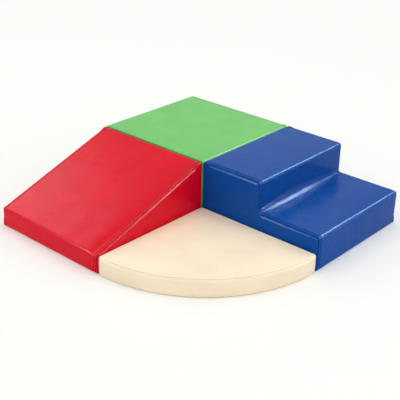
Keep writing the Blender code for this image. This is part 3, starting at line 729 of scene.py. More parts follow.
def outline(block, inset, base_inset, y=0.0):
    """The block's profile at y drawn in, walked clockwise from the foot of its back face.

    Returns points, outward normals, the edge each point is on (less than 0 on a bend) and its
    share along it. The last is how many points the wrap panel takes.
    """
    corners = [list(corner) for corner in BLOCKS[block]["corners"]]
    steps_at = [max(5, round(radius / BEND_STEP * 1.5)) for _, _, radius in corners]
    if block == "stairs":
        corners[3][2] = float(cove_radius(y))
        steps_at[3] = round(COVE_BELLY / BEND_STEP * 1.5)
    edges, lengths = [], []
    for index, (x, z, _) in enumerate(corners):
        ahead = corners[(index + 1) % len(corners)]
        span = Vector((ahead[0] - x, ahead[1] - z))
        direction = span.normalized()
        outward = Vector((-direction.y, direction.x))
        drawn = base_inset if index == len(corners) - 1 else inset
        edges.append((Vector((x, z)) - outward * drawn, direction, outward))
        lengths.append(span.length)
    bends = []
    for index, (_, _, radius) in enumerate(corners):
        before, after = edges[index - 1], edges[index]
        turn = before[1].x * after[1].y - before[1].y * after[1].x
        angle = before[1].angle(after[1])
        side = 1 if turn < 0 else -1
        bend = max(radius - side * inset, LEAST_RADIUS)
        start = crossing(before, after) - before[1] * bend * math.tan(angle / 2)
        centre = start - before[2] * bend * side
        steps = steps_at[index]
        part = []
        for step in range(steps + 1):
            normal = before[2].copy()
            normal.rotate(Matrix.Rotation(-side * angle * step / steps, 2))
            part.append((centre + normal * bend * side, normal))
        bends.append(part)
    points, normals, edge_of, shares = [], [], [], []
    for index, part in enumerate(bends):
        for point, normal in part:
            points.append(point)
            normals.append(normal)
            edge_of.append(-1 - index)
            shares.append(0.0)
        wrap_count = len(points)
        start, end = part[-1][0], bends[(index + 1) % len(bends)][0][0]
        spans = max(3, round(lengths[index] / LONG_STEP))
        for span in range(1, spans):
            points.append(start.lerp(end, span / spans))
            normals.append(edges[index][2])
            edge_of.append(index)
            shares.append(span / spans)
    return np.array(points), np.array(normals), np.array(edge_of), np.array(shares), wrap_count


def base_share(inset, skin=0.0):
    """How far the base is drawn in where the other edges are drawn in by inset."""
    return skin + (inset - skin) * (BASE_ROLL - skin) / (EDGE_ROLL - skin)


def roll_place(from_seam, radius, start):
    """Where a panel is, at a distance from a seam that sits start radians round a rolled edge.

    Returns its distance from the side face, its drop below the top face and its tilt.
    """
    tilt = np.clip(start - from_seam / radius, 0.0, None)
    flat = np.clip(from_seam - start * radius, 0.0, None)
    return radius * (1 - np.sin(tilt)) + flat, radius * (1 - np.cos(tilt)), tilt


def eased(value):
    """0 below 0, 1 above 1, and a smooth rise between."""
    share = np.clip(value, 0.0, 1.0)
    return share**2 * (3 - 2 * share)


def roll_mix(x, z, tight):
    """How much of each edge roll a point takes: soft, plain, and tight against a neighbour.

    The plain one is at the base. tight is 1 where the whole side meets a neighbour, 0 where its
    back end lies in the middle of the climber, and -1 on an open side, whose back end is plain.
    """
    base = eased((BASE_REACH - z) / BASE_BLEND)
    back = eased((BACK_REACH - x) / BACK_BLEND) * (1 - base)
    close = np.where(tight < 0, 0.0, np.maximum(tight, back) * (1 - base))
    plain = np.where(tight < 0, back, 0.0)
    return 1 - base - close - plain, base + plain, close


def path_length(points):
    """Distance along a line of points, from its start."""
    steps = np.linalg.norm(np.diff(points, axis=0), axis=1)
    return np.concatenate([[0.0], np.cumsum(steps)])


def seam_shape(distance, sewn=1.0):
    """Height of a panel at a distance from its seam: groove, bead, topstitch channel and draw.

    sewn is how deep the topstitching pulls the panel in.
    """
    groove = -SEAM_DEPTH * bell(distance, 0.0, SEAM_WIDTH)
    channel = -STITCH_DEPTH * bell(distance, STITCH_PLACE, STITCH_WIDTH)
    draw = -DRAW_DEPTH * fading(distance, DRAW_REACH)
    return groove * seam_pull(sewn) + bead(distance) + channel * sewn + draw


def seam_pull(sewn):
    """How much of its full depth a seam has, by how deep the topstitching beside it pulls."""
    return 0.4 + 0.6 * sewn


def bead(distance):
    """Height of the swell beside a seam."""
    return BEAD_HEIGHT * bell(distance, BEAD_PLACE, BEAD_WIDTH)


def seam_grime(distance, sewn=1.0):
    """How much painted shade a panel takes at a distance from its seam: in it and along the
    stitches.
    """
    row = bell(distance, STITCH_PLACE, SEAM_SHADE_WIDTH)
    return (0.15 + 0.40 * sewn) * bell(distance, 0.0, SEAM_SHADE_WIDTH) + 0.40 * row * sewn


def seam_gathers(along, distance, seed, sewn=1.0):
    """Small gathers along a seam, dying out into the panel, and the pinch at each stitch."""
    gathers = waves(along, distance * 0.35, "gathers", seed)
    pinch = -0.5 - 0.5 * np.cos(2 * math.pi * along / STITCH_PITCH)
    near_row = bell(distance, STITCH_PLACE, PINCH_WIDTH)
    return gathers * fading(distance, GATHER_REACH) + PINCH_DEPTH * pinch * near_row * sewn


def wrap_rows(mid_step):
    """The wrap panel's rows: distances from its two seams, then place, drop and tilt of each.

    The last are a set for each of the rolls.
    """
    near = np.array(SEAM_ROWS)
    sets = []
    count = max(2, round((SIDE - 2 * near[-1]) / mid_step))
    for radius, start in ROLLS:
        place, drop, tilt = roll_place(near, radius, start)
        middle = np.linspace(place[-1], SIDE - place[-1], count + 1)[1:-1]
        none = np.zeros(count - 1)
        sets.append((
            np.concatenate([place, middle, SIDE - place[::-1]]),
            np.concatenate([drop, none, drop[::-1]]),
            np.concatenate([-tilt, none, tilt[::-1]]),
        ))
    width = 2 * near[-1] + SIDE - 2 * sets[0][0][len(near) - 1]
    between = np.linspace(near[-1], width - near[-1], count + 1)[1:-1]
    from_near = np.concatenate([near, between, width - near[::-1]])
    return from_near, width - from_near, sets


def wrap_heights(block, along, edge_of, shares, near, far):
    """How far the wrap panel stands off its plain profile, at every point of every row."""
    data = BLOCKS[block]
    seed = data["seeds"][0]
    s, across = along[:, None], near[None, :]
    to_seam = np.minimum(near, far)[None, :]
    sewn = 1.0 - np.maximum(closeness(data, near, far), 0.0)
    heights = np.where(
        near < far,
        seam_gathers(s, to_seam, seed, sewn),
        seam_gathers(s, to_seam, seed + 1, sewn),
    )
    heights += seam_shape(to_seam, sewn)
    swell = swelling(block, edge_of, shares)
    heights += swell[:, None] * crown(near / (far + near))[None, :]
    loose = waves(s, across, "wrap_broad", seed + 2) + waves(s, across, "wrap_medium", seed + 3)
    heights += loose * (1 - fading(to_seam, LOOSE_REACH))
    if block == "ramp":
        heights -= ramp_slack(s, far[None, :])
    if block == "stairs":
        foot = np.mean(along[edge_of == -4])
        ripples = waves(s, across * 0.22, "cove_ripples", 71)
        puckers = waves(s * 0.3, across, "cove_puckers", 72)
        loose = (ripples + puckers) * (1 - fading(to_seam, PUCKER_REACH))
        heights += bell(s, foot, FOOT_REACH) * loose
    return np.minimum(heights, np.where(edge_of == 0, 0.0, 1.0)[:, None])


def swelling(block, edge_of, shares):
    """Swell of the padding at each point of a block's profile."""
    swell = np.zeros(len(edge_of))
    for index, height in enumerate(BLOCKS[block]["crowns"]):
        on_edge = edge_of == index
        swell[on_edge] = height * crown(shares[on_edge])
    return swell


def ramp_slack(s, far):
    """The hollow beside the ramp's seam on the mat's side, deeper and wider towards the toe."""
    run = np.clip((s - SLOPE_START) / (SLOPE_END - SLOPE_START), 0.0, 1.0)
    depth = 0.0009 + 0.0030 * run**1.3
    on_top = bell(np.clip(s - SLOPE_END, 0.0, None), 0.0, 0.015)
    return depth * on_top * bell(far, 0.012 + 0.012 * run, 0.009 + 0.007 * run)


def closeness(data, near, far):
    """How close the side nearer to each row is to a neighbour, as roll_mix tells it."""
    return np.where(near < far, data["near"][2], data["far"][2])[None, :]


def bend_wear(edge_of, corners):
    """1 on the upper folds, 0 on flat parts, the cove and the base."""
    wear = np.zeros(len(edge_of))
    for index, (_, z, radius) in enumerate(corners):
        if z > RIM_LIFT and radius <= FOLD_RADIUS:
            wear[edge_of == -1 - index] = 1.0
    return wear


def wrap_panel(block, finishes):
    """The panel that wraps the block from foot to foot, and its topstitch rows beside the seams
    whose side doesn't wholly meet a neighbour.
    """
    data = BLOCKS[block]
    flat, normal, edge_of, shares, count = outline(block, 0.0, 0.0)
    flat, normal = flat[:count], normal[:count]
    edge_of, shares = edge_of[:count], shares[:count]
    near, far, sets = wrap_rows(STAIRS_MID_STEP if block == "stairs" else MID_STEP)
    rows = sets[0][0]
    heights = wrap_heights(block, path_length(flat), edge_of, shares, near, far)
    plain = np.stack([outline(block, 0.0, 0.0, y)[0][:count] for y in rows], axis=1)
    tight = closeness(data, near, far)
    mix = roll_mix(plain[..., 0], plain[..., 1], tight)
    place, drop, tilt = (sum(m * one for m, one in zip(mix, kind)) for kind in zip(*sets))
    rise = heights * np.cos(tilt) - drop
    points = np.zeros((count, len(rows), 3))
    points[..., 0] = plain[..., 0] + normal[:, None, 0] * rise
    points[..., 1] = place + heights * np.sin(tilt)
    points[..., 2] = np.maximum(plain[..., 1] + normal[:, None, 1] * rise, RIM_LIFT)
    to_seam = np.minimum(near, far)[None, :]
    add_cover(
        f"{block}_wrap_panel",
        block,
        points.reshape(-1, 3),
        grid_faces(count, len(rows)),
        finishes,
        wear=bend_wear(edge_of, data["corners"])[:, None] + rubbed(to_seam, SEWN_WEAR),
        # Painted shade in the seam groove and along the stitch rows
        grime=seam_grime(to_seam, 1.0 - np.maximum(tight, 0.0)) * np.ones((count, 1)),
    )
    outward = np.column_stack([normal[:, 0], np.zeros(count), normal[:, 1]])
    turned = placed(block, outward) - placed(block, np.zeros((1, 3)))
    stitched = SEAM_ROWS.index(STITCH_PLACE)
    lines = []
    for column, side in ((stitched, "near"), (len(rows) - 1 - stitched, "far")):
        if data[side][2] <= 0.0:
            lines.append((placed(block, points[:, column]), turned))
    stitches(f"{block}_topstitch", lines, finishes, block)


def stitches(name, lines, finishes, block, kind=COVER_STITCH):
    """Rows of stitches along lines of points with outward normals."""
    pitch, length, radius, sides = kind
    vertices, faces = [], []
    for points, normals in lines:
        along = path_length(points)
        for place in np.arange(END_MARGIN, along[-1] - END_MARGIN, pitch):
            start = len(vertices)
            for share, lift, thickness in STITCH_STATIONS:
                at = place + share * length
                centre = point_on(at, along, points)
                up = point_on(at, along, normals)
                up /= np.linalg.norm(up)
                side = np.cross(point_on(at + 0.001, along, points) - centre, up)
                side /= np.linalg.norm(side)
                centre = centre + up * radius * lift
                for turn in range(sides):
                    angle = 2 * math.pi * turn / sides
                    spread = side * math.cos(angle) + up * math.sin(angle)
                    vertices.append(centre + spread * radius * thickness)
            faces += tube_faces(len(STITCH_STATIONS), sides, start)
    colour = BLOCKS[block]["vinyl"]
    finish = finishes[f"{colour}_thread"]
    face_out(add_piece(name, block, vertices, faces, finish, f"{colour}_vinyl"))


def point_on(at, along, points):
    """The point at a distance along a line of points."""
    return np.array([np.interp(at, along, points[:, k]) for k in range(3)])


def roll_levels(radius, start, sewn=1.0):
    """The side panel over its rolled edge, from the seam to its face.

    A level is its distance in from the side face, its drop, its tilt and its arc from the seam.
    """
    pull = seam_pull(sewn)
    reach = radius * (math.pi / 2 - start)
    sunk = SEAM_SINKS[-1][0]
    arcs = list(SEAM_SINKS)
    for step in range(1, ROLL_STEPS + 1):
        arcs.append((sunk + (reach - sunk) * step / ROLL_STEPS, 0.0))
    levels = []
    for arc, sink in arcs:
        tilt = start + arc / radius
        depth = radius * (1 - math.sin(tilt)) + sink * pull * math.sin(tilt)
        drop = radius * (1 - math.cos(tilt)) + sink * pull * math.cos(tilt)
        levels.append((depth, drop, tilt, arc))
    for share in FACE_SHARES:
        levels.append((0.0, radius * (1 + share), math.pi / 2, reach + radius * share))
    return levels


def rolled_lift(arc, gathers):
    """How far a side panel stands off its rolled edge at an arc from its seam."""
    return bead(arc) + gathers * fading(arc, ROLLED_REACH)


def rubbed(distance, kind):
    """How rubbed a panel is at a distance from its seam."""
    share, reach = kind
    return share * fading(distance, reach)


def side_panel(block, which, finishes):
    """One side panel: it rolls over the edge into the seam, and its face swells a little."""
    data = BLOCKS[block]
    label, height, tight = data[which]
    wrap_seed, face_seed = data["seeds"]
    side = 0.0
    if which == "far":
        wrap_seed, face_seed, side = wrap_seed + 1, face_seed + 5, SIDE
    flat, _, edge_of, _, _ = outline(block, 0.0, 0.0, side)
    above_base = edge_of != len(data["corners"]) - 1
    gathers = seam_gathers(path_length(flat), np.zeros(1), wrap_seed)
    mix = np.array(roll_mix(flat[:, 0], flat[:, 1], tight))
    mix[:, ~above_base] = [[0.0], [1.0], [0.0]]
    levels = [roll_levels(*roll, 1.0 - max(tight, 0.0)) for roll in ROLLS]
    rings = []
    for level in zip(*levels):
        parts = []
        for depth, inset, tilt, arc in level:
            points, normals = outline(block, inset, base_share(inset), side)[:2]
            lift = rolled_lift(arc, gathers) * above_base
            moved = points + normals * (lift * math.cos(tilt))[:, None]
            parts.append(np.insert(moved, 1, depth - lift * math.sin(tilt), axis=1))
        ring = sum(part * m[:, None] for part, m in zip(parts, mix))
        ring[:, 2] = np.maximum(ring[:, 2], RIM_LIFT)
        rings.append(ring)
    vertices, faces = stacked(rings, (0, 2), SIDE_FILL, ((-1, 0.0),))
    size = len(flat)
    face_from = (len(rings) - len(FACE_SHARES)) * size
    face = vertices[face_from:][:, (0, 2)]
    rim = np.clip(nearest(flat, face) - SOFT_ROLL, 0.0, None)
    broad = waves(*face.T, "side_broad", face_seed)
    drawn = waves(*face.T, "side_drawn", face_seed + 1)
    swell = height * (1 - fading(rim, SIDE_SWELL_REACH))
    swell += broad * (1 - fading(rim, LOOSE_REACH)) + drawn * fading(rim, DRAWN_REACH)
    swell *= 1 - fading(rim, RIM_REACH)
    vertices[face_from:, 1] -= swell if height else -np.abs(swell)
    if which == "far":
        vertices[:, 1] = SIDE - vertices[:, 1]
    arcs = np.array([level[3] for level in levels[0]])
    add_cover(
        f"{block}_{label}",
        block,
        vertices,
        faces,
        finishes,
        wear=np.repeat(rubbed(arcs, ROLLED_WEAR), size),
        # Painted shade in the seam groove
        grime=np.repeat(seam_grime(arcs, 0.0), size),
    )


def stacked(rings, axes, spacing, ends):
    """Vertices and faces of a stack of closed rings, with some of the rings filled in.

    axes are the two coordinates of the rings' plane. ends are the rings to fill, each with the
    other coordinate of its new points.
    """
    size = len(rings[0])
    vertices = np.vstack(rings)
    faces = grid_faces(len(rings), size, closed=True)
    for end, level in ends:
        kept, fill = inside_fill(rings[end][:, axes], spacing)
        first, count = end % len(rings) * size, len(vertices)
        names = [*range(first, first + size), *range(count, count + len(kept))]
        extra = np.full((len(kept), 3), level)
        extra[:, axes] = kept
        vertices = np.vstack([vertices, extra])
        faces += [tuple(names[v] for v in face) for face in fill]
    return vertices, faces


def quarter_turn(steps):
    """1 less the sine and 1 less the cosine of evenly spaced angles from 0 to a right angle."""
    angles = [math.pi / 2 * step / steps for step in range(steps + 1)]
    return [(1 - math.sin(angle), 1 - math.cos(angle)) for angle in angles]


def block_foam(block, finishes):
    """The foam inside a block, a little smaller than its cover and softened at its edges."""
    reach = SOFT_ROLL - FOAM_SKIN
    levels = [
        (FOAM_SKIN + reach * inward, FOAM_SKIN + reach * down + FOAM_SHOULDER[0][1], 0.0)
        for down, inward in quarter_turn(6)
    ]
    levels += [(place, FOAM_SKIN + drawn, share) for place, drawn, share in FOAM_SHOULDER]
    last, inset, _ = levels[-1]
    for step in range(1, 7):
        levels.append((last + (SIDE / 2 - last) * step / 6, inset, 0.6 + 0.4 * step / 6))
    for place, inset, share in reversed(levels[:-1]):
        slack = RAMP_FOAM_SLACK if block == "ramp" and place < RAMP_SLACK_REACH else 0.0
        levels.append((SIDE - place, inset + slack, share))
    rings = []
    for place, inset, share in levels:
        drawn = base_share(inset, FOAM_SKIN)
        points, normals, edge_of, shares, _ = outline(block, inset, drawn, place)
        lift = swelling(block, edge_of, shares) * share
        moved = points + normals * lift[:, None]
        rings.append(np.insert(moved[::3], 1, place, axis=1))
    ends = ((0, levels[0][0]), (-1, levels[-1][0]))
    finish_foam(block, *stacked(rings, (0, 2), FOAM_FILL, ends), finishes)


def finish_foam(block, vertices, faces, finishes):
    """Makes a block's foam and cuts the channel for the zip and its slider."""
    vertices = placed(block, vertices)
    piece = add_piece(f"{block}_foam", block, vertices, faces, finishes["foam"], "foam")
    face_out(piece)
    half, low, high = TAPE_OUTER + CHANNEL_SLACK, -OVERHANG, SIDE + OVERHANG
    corners = [
        (ZIP_INSET + x, y, z)
        for z in (low, CHANNEL_TOP)
        for x, y in ((-half, low), (half, low), (half, high), (-half, high))
    ]
    sides = [(0, 3, 2, 1), (4, 5, 6, 7), *grid_faces(2, 4, closed=True)]
    cutter = add_mesh("channel_cutter", placed(block, corners), sides)
    face_out(cutter)
    cut = piece.modifiers.new("channel", "BOOLEAN")
    cut.operation = "DIFFERENCE"
    cut.object = cutter
    evaluated(piece)
    mesh = cutter.data
    bpy.data.objects.remove(cutter)
    bpy.data.meshes.remove(mesh)
    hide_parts(f"{block}_foam_core")


# Quarter-round mat


def quarter(inset):
    """Outline of the mat drawn in, anticlockwise from its inner corner, with outward normals.

    The last two are the counts up to the first tip and up to the end of the second.
    """
    bend = max(CORNER_RADIUS - inset, LEAST_RADIUS)
    points, normals = [], []
    low = inset + bend
    disc = SIDE - inset
    tip = math.sqrt((disc - bend) ** 2 - low**2)
    tip_turn = math.atan2(low, tip)
    right = math.pi / 2

    def arc(centre, radius, start, end, length):
        steps = max(4, round(length / LONG_STEP))
        for step in range(steps + 1):
            angle = start + (end - start) * step / steps
            x, y = math.cos(angle), math.sin(angle)
            points.append((centre[0] + radius * x, centre[1] + radius * y))
            normals.append((x, y))

    def line(start, end, direction):
        steps = round(SIDE / LONG_STEP)
        for step in range(1, steps):
            share = step / steps
            points.append(tuple(a + (b - a) * share for a, b in zip(start, end)))
            normals.append(direction)

    arc((low, low), bend, 2 * right, 3 * right, CORNER_RADIUS * 2)
    line((low, inset), (tip, inset), (0.0, -1.0))
    first_tip = len(points)
    arc((tip, low), bend, -right, tip_turn, CORNER_RADIUS * 2)
    arc((0.0, 0.0), disc, tip_turn, right - tip_turn, SIDE * right)
    arc((low, tip), bend, right - tip_turn, 2 * right, CORNER_RADIUS * 2)
    second_tip = len(points)
    line((inset, tip), (inset, low), (-1.0, 0.0))
    return np.array(points), np.array(normals), first_tip, second_tip


def mat_levels(radius, start):
    """(inset, height, tilt from the top's normal, arc to the seam) up the mat's edge."""
    low, high = RIM_LIFT + BASE_ROLL, MAT_HEIGHT - radius
    levels = [
        (EDGE_ROLL * inward, RIM_LIFT + BASE_ROLL * up, math.pi / 2, math.inf)
        for inward, up in quarter_turn(6)
    ]
    for share in (0.2, 0.4, 0.6, 0.8):
        levels.append((0.0, low + (high - low) * share, math.pi / 2, math.inf))
    rolled = roll_levels(radius, start, MAT_SEWN)[: -len(FACE_SHARES)]
    for inset, drop, tilt, arc in reversed(rolled):
        levels.append((inset, MAT_HEIGHT - drop, tilt, arc))
    return levels


def mat_mix():
    """The soft roll's share at each point round the mat: 1 on the arc, 0 along the sides."""
    points = quarter(0.0)[0]
    return eased((points.min(axis=1) - MAT_BLEND_START) / MAT_BLEND)[:, None]


def mat_ring(inset, height, tilt, arc, along, gathers):
    """The mat's edge at one level."""
    points, normals, first, second = quarter(inset)
    bulge = SIDE_CROWN * max(0.0, 1 - (2 * height / MAT_HEIGHT - 1) ** 2) * math.sin(tilt) ** 4
    lift = rolled_lift(arc, gathers)
    slack = np.zeros(len(points))
    if inset == 0.0:
        slack = waves(along, np.full(len(along), height), "mat_slack", MAT_SEED + 1)
    index = np.arange(len(points))
    on_arc = (index >= first) & (index < second)
    out = np.where(on_arc, bulge * 0.6 + slack, -np.abs(slack)) + lift * math.sin(tilt)
    out = np.where(on_arc, out, np.minimum(out, 0.0))
    moved = points + normals * out[:, None]
    return np.column_stack([moved, np.maximum(height + lift * math.cos(tilt), RIM_LIFT)])


def mat_bands(finishes):
    """The band round the mat's arc and the one along its two straight sides."""
    flat, _, first, second = quarter(0.0)
    along = path_length(flat)
    gathers = seam_gathers(along, np.zeros(1), MAT_SEED)
    soft = mat_mix()
    levels = [mat_levels(*roll) for roll in MAT_ROLLS]
    rings = np.stack([
        mat_ring(*one, along, gathers) * soft + mat_ring(*other, along, gathers) * (1 - soft)
        for one, other in zip(*levels)
    ])
    arcs = np.array([level[3] for level in levels[0]])
    bands = {
        "mat_arc_band": list(range(first, second)),
        "mat_inner_band": [*range(second - 1, len(flat)), *range(first + 1)],
    }
    for node, chosen in bands.items():
        band = rings[:, chosen]
        if node == "mat_inner_band":
            for end, beside in ((0, 1), (-1, -2)):
                step = band[:, beside] - band[:, end]
                length = np.linalg.norm(step, axis=1)
                band[:, end] += step * np.minimum(0.8, SEAM_GAP / length)[:, None]
        faces = grid_faces(len(band), len(chosen))
        wear = np.repeat(rubbed(arcs, ROLLED_WEAR), len(chosen))
        add_cover(node, "mat", band.reshape(-1, 3), faces, finishes, wear=wear)


def mat_top(finishes):
    """The mat's top panel, with its topstitch row."""
    along = path_length(quarter(0.0)[0])
    soft = mat_mix()
    rings = []
    for from_seam in SEAM_ROWS:
        distance = np.full(len(along), from_seam)
        rise = seam_gathers(along, distance, MAT_SEED, MAT_SEWN)
        rise = rise + seam_shape(distance, MAT_SEWN)
        parts = []
        for roll in MAT_ROLLS:
            inset, drop, tilt = roll_place(from_seam, *roll)
            points, normals, _, _ = quarter(inset)
            points = points + normals * (rise * math.sin(tilt))[:, None]
            parts.append(np.column_stack([points, MAT_HEIGHT - drop + rise * math.cos(tilt)]))
        rings.append(parts[0] * soft + parts[1] * (1 - soft))
    vertices, faces = stacked(rings, (0, 1), MAT_FILL, ((-1, MAT_HEIGHT),))
    flat = vertices[:, :2]
    seam_line = quarter(SOFT_ROLL)[0][::3]
    gap = nearest(seam_line, flat) * within(seam_line, flat)
    broad = waves(*flat.T, "mat_broad", MAT_SEED + 2)
    medium = waves(*flat.T, "mat_medium", MAT_SEED + 3)
    vertices[:, 2] += TOP_CROWN * (1 - fading(gap, MAT_SWELL_REACH))
    vertices[:, 2] += (broad + medium) * (1 - fading(gap, LOOSE_REACH))
    wear = np.repeat(rubbed(np.array(SEAM_ROWS), SEWN_WEAR), len(along))
    add_cover("mat_top_panel", "mat", vertices, faces, finishes, wear=wear)
    row = SEAM_ROWS.index(STITCH_PLACE) * len(along)
    line = placed("mat", vertices[row : row + len(along)])
    line = np.vstack([line, line[:1]])
    up = np.tile([0.0, 0.0, 1.0], (len(line), 1))
    stitches("mat_topstitch", [(line, up)], finishes, "mat")


def mat_foam(finishes):
    """The foam inside the mat."""
    low, high = RIM_LIFT + FOAM_SKIN, MAT_HEIGHT - FOAM_SKIN
    edge, base, soft = (radius - FOAM_SKIN for radius in (EDGE_ROLL, BASE_ROLL, SOFT_ROLL))
    levels = [(FOAM_SKIN + edge * inward, low + base * up) for inward, up in quarter_turn(4)]
    for down, inward in quarter_turn(6):
        inset = FOAM_SKIN + MAT_FOAM_SINK + soft * inward
        levels.append((inset, high - MAT_SHOULDER[0][1] - soft * down))
    for inset, drop, share in MAT_SHOULDER:
        levels.append((inset, high - drop + TOP_CROWN * share))
    rings = [np.insert(quarter(inset)[0][::3], 2, height, axis=1) for inset, height in levels]
    ends = ((0, levels[0][1]), (-1, levels[-1][1]))
    finish_foam("mat", *stacked(rings, (0, 1), FOAM_FILL, ends), finishes)


# Base, zip and strips


def base_panels(block, ring, finishes):
    """The two parts of the base, each with its edge along the zip turned up into the recess."""
    for label, side in (("panel", 1), ("strip", -1)):
        edge = ZIP_INSET + RECESS_HALF * side
        shape = bmesh.new()
        shape.faces.new([shape.verts.new((x, y, 0.0)) for x, y in ring])
        bmesh.ops.bisect_plane(
            shape,
            geom=shape.verts[:] + shape.edges[:] + shape.faces[:],
            plane_co=(edge, 0, 0),
            plane_no=(1, 0, 0),
            clear_inner=side > 0,
            clear_outer=side < 0,
            dist=0.00002,
        )
        half = np.array([v.co[:2] for v in shape.faces[:][0].verts])
        shape.free()
        half = resampled(half, BASE_STEP)
        kept, fill = inside_fill(half, BASE_FILL)
        flat = np.vstack([half, kept])
        vertices = np.column_stack([flat, np.zeros(len(flat))])
        border = np.where(np.abs(half[:, 0] - edge) < 0.00005)[0]
        order = border[np.argsort(half[border, 1])]
        rows = [list(order)]
        for share in (0.12, 0.3, 0.65, 1.0):
            lifted = vertices[order].copy()
            lifted[:, 2] = RECESS_DEPTH * share
            lifted[:, 0] += BASE_LIP_BULGE * side * (1 - share) * share * 4
            rows.append(list(range(len(vertices), len(vertices) + len(order))))
            vertices = np.vstack([vertices, lifted])
        faces = list(fill)
        for low, high in zip(rows, rows[1:]):
            faces += list(zip(low, low[1:], high[1:], high))
        name = f"{block}_grip_{label}"
        vertices = placed(block, vertices)
        piece = add_piece(name, block, vertices, faces, finishes["grip"], "grip_fabric")
        thicken(piece, block, BASE_FABRIC)
        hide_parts(f"{block}_base_{label}")


def resampled(ring, spacing):
    """A closed outline with its longer sides divided."""
    points = []
    for a, b in zip(ring, np.roll(ring, -1, axis=0)):
        steps = max(1, round(np.linalg.norm(b - a) / spacing))
        points += [a + (b - a) * k / steps for k in range(steps)]
    return np.array(points)


def zip_tapes(block, low, high, finishes):
    """The two halves of the zip: a woven tape with a spiral coil along its inner edge."""
    turns = int((high - low) / COIL_PITCH) - 1
    for side, label in ((-1, "left"), (1, "right")):
        tape = []
        for y in np.linspace(low, high, TAPE_ROWS):
            for x, z in TAPE_SECTION:
                ripple = TAPE_RIPPLE * math.sin(y * 190.0 + x * 300.0) * (x > 0.005)
                tape.append((ZIP_INSET + side * x, y, COIL_LEVEL + z + ripple))
        name = f"{block}_zip_tape_cloth_{label}"
        piece = add_tube(name, block, tape, len(TAPE_SECTION), finishes["tape"])
        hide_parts(f"{block}_zip_tape_{label}")
        coil = []
        for step in range(turns * COIL_SEGMENTS + 1):
            angle = 2 * math.pi * step / COIL_SEGMENTS
            middle = low + COIL_PITCH / 2 + COIL_WIRE + COIL_PITCH * step / COIL_SEGMENTS
            for corner in range(4):
                swing = math.pi / 2 * corner + math.pi / 4
                out = COIL_WIRE * math.cos(swing)
                x = COIL_PLACE + (COIL_HALF_WIDTH - COIL_WIRE + out) * math.cos(angle)
                y = middle + COIL_WIRE * math.sin(swing)
                z = (COIL_HALF_HEIGHT - COIL_WIRE + out) * math.sin(angle)
                coil.append((ZIP_INSET + side * x, y, COIL_LEVEL + z))
        add_tube(f"{block}_zip_coil_{label}", block, coil, 4, finishes["coil"])


def add_tube(name, block, points, columns, finish):
    """A part of the zip's tape: a closed tube, from rows of points in the block's own frame."""
    faces = tube_faces(len(points) // columns, columns)
    piece = add_piece(name, block, placed(block, points), faces, finish, "zip_tape")
    face_out(piece)
    return piece


def fastening_strip(node, block, kind, finishes):
    """A hook or loop strip: a flat border, a raised face, and a row of stitches round it."""
    low, high = (np.array(corner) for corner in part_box(node))
    size, middle = high - low, (low + high) / 2
    axis = int(np.argmin(size))
    across = 1 - axis
    outward = 1.0 if middle[axis] > placed(block, (SIDE / 2, SIDE / 2, 0.0))[axis] else -1.0
    thick = size[axis]

    def lifted(points, level):
        """Points of the strip's own plane in the shared frame, at a level above its back."""
        result = np.zeros((len(points), 3))
        result[:, axis] = (low if outward > 0 else high)[axis] + outward * level
        result[:, across] = middle[across] + points[:, 0]
        result[:, 2] = middle[2] + points[:, 1]
        return result

    half = np.array([size[across], size[2]]) / 2
    ring = []
    for index, signs in enumerate(((1, 1), (-1, 1), (-1, -1), (1, -1))):
        for step in range(5):
            angle = math.pi / 2 * (index + step / 4)
            turn = np.array([math.cos(angle), math.sin(angle)])
            ring.append(signs * (half - STRIP_CORNER) + STRIP_CORNER * turn)
    ring = resampled(np.array(ring), STRIP_STEP)
    kept, fill = inside_fill(ring, STRIP_FILL)
    flat = np.vstack([ring, kept])
    edge = np.concatenate([np.zeros(len(ring)), nearest(ring, kept)])
    rise = thick * (STRIP_BORDER + STRIP_FACE * np.clip((edge - 0.0022) / 0.0016, 0.0, 1.0))
    rng = np.random.default_rng(len(node) + 7)
    rise += thick * STRIP_PILE * rng.uniform(-1, 1, len(flat)) * (edge > 0.003)
    count = len(flat)
    faces = list(fill) + [tuple(count + v for v in reversed(face)) for face in fill]
    for k in range(len(ring)):
        ahead = (k + 1) % len(ring)
        faces.append((k, ahead, count + ahead, count + k))
    colour = BLOCKS[block]["vinyl"]
    name = node.replace("_strip", "_tape")
    vertices = np.vstack([lifted(flat, rise), lifted(flat, 0.0)])
    finish = finishes[f"{colour}_{kind}"]
    piece = add_piece(name, block, vertices, faces, finish, f"{colour}_strip")
    face_out(piece)
    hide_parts(node)
    inner = ring * (1 - STRIP_SEWN / half)
    line = lifted(np.vstack([inner, inner[:1]]), thick * STRIP_BORDER)
    normals = np.zeros_like(line)
    normals[:, axis] = outward
    stitches(f"{node}_stitches", [(line, normals)], finishes, block, STRIP_STITCH)


# The whole object


def build_pieces(finishes):
    """Every piece of the four blocks, and the metal parts of their zips."""
    for block in ("platform", "ramp", "stairs"):
        wrap_panel(block, finishes)
        side_panel(block, "near", finishes)
        side_panel(block, "far", finishes)
        block_foam(block, finishes)
        x_low, y_low = BASE_FOLD_RADIUS + SEAM_GAP, EDGE_ROLL + SEAM_GAP
        x_high, y_high = SIDE - x_low, SIDE - y_low
        ring = [(x_low, y_low), (x_high, y_low), (x_high, y_high), (x_low, y_high)]
        base_panels(block, ring, finishes)
        zip_tapes(block, y_low, y_high, finishes)
    mat_bands(finishes)
    mat_top(finishes)
    mat_foam(finishes)
    drawn_in = EDGE_ROLL + SEAM_GAP
    base_panels("mat", quarter(drawn_in)[0][::2], finishes)
    reach = math.sqrt((SIDE - drawn_in) ** 2 - (ZIP_INSET + TAPE_OUTER) ** 2)
    zip_tapes("mat", drawn_in, reach - RIM_LIFT, finishes)
    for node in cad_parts:
        for kind in ("hook", "loop"):
            if "_strip" in node and f"_{kind}_" in node:
                fastening_strip(node, node.split("_")[0], kind, finishes)
    for node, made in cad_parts.items():
        if any(word in node for word in ("_zip_slider", "_zip_pull", "_stop")):
            for slot in made.material_slots:
                slot.material = finishes["nickel"]


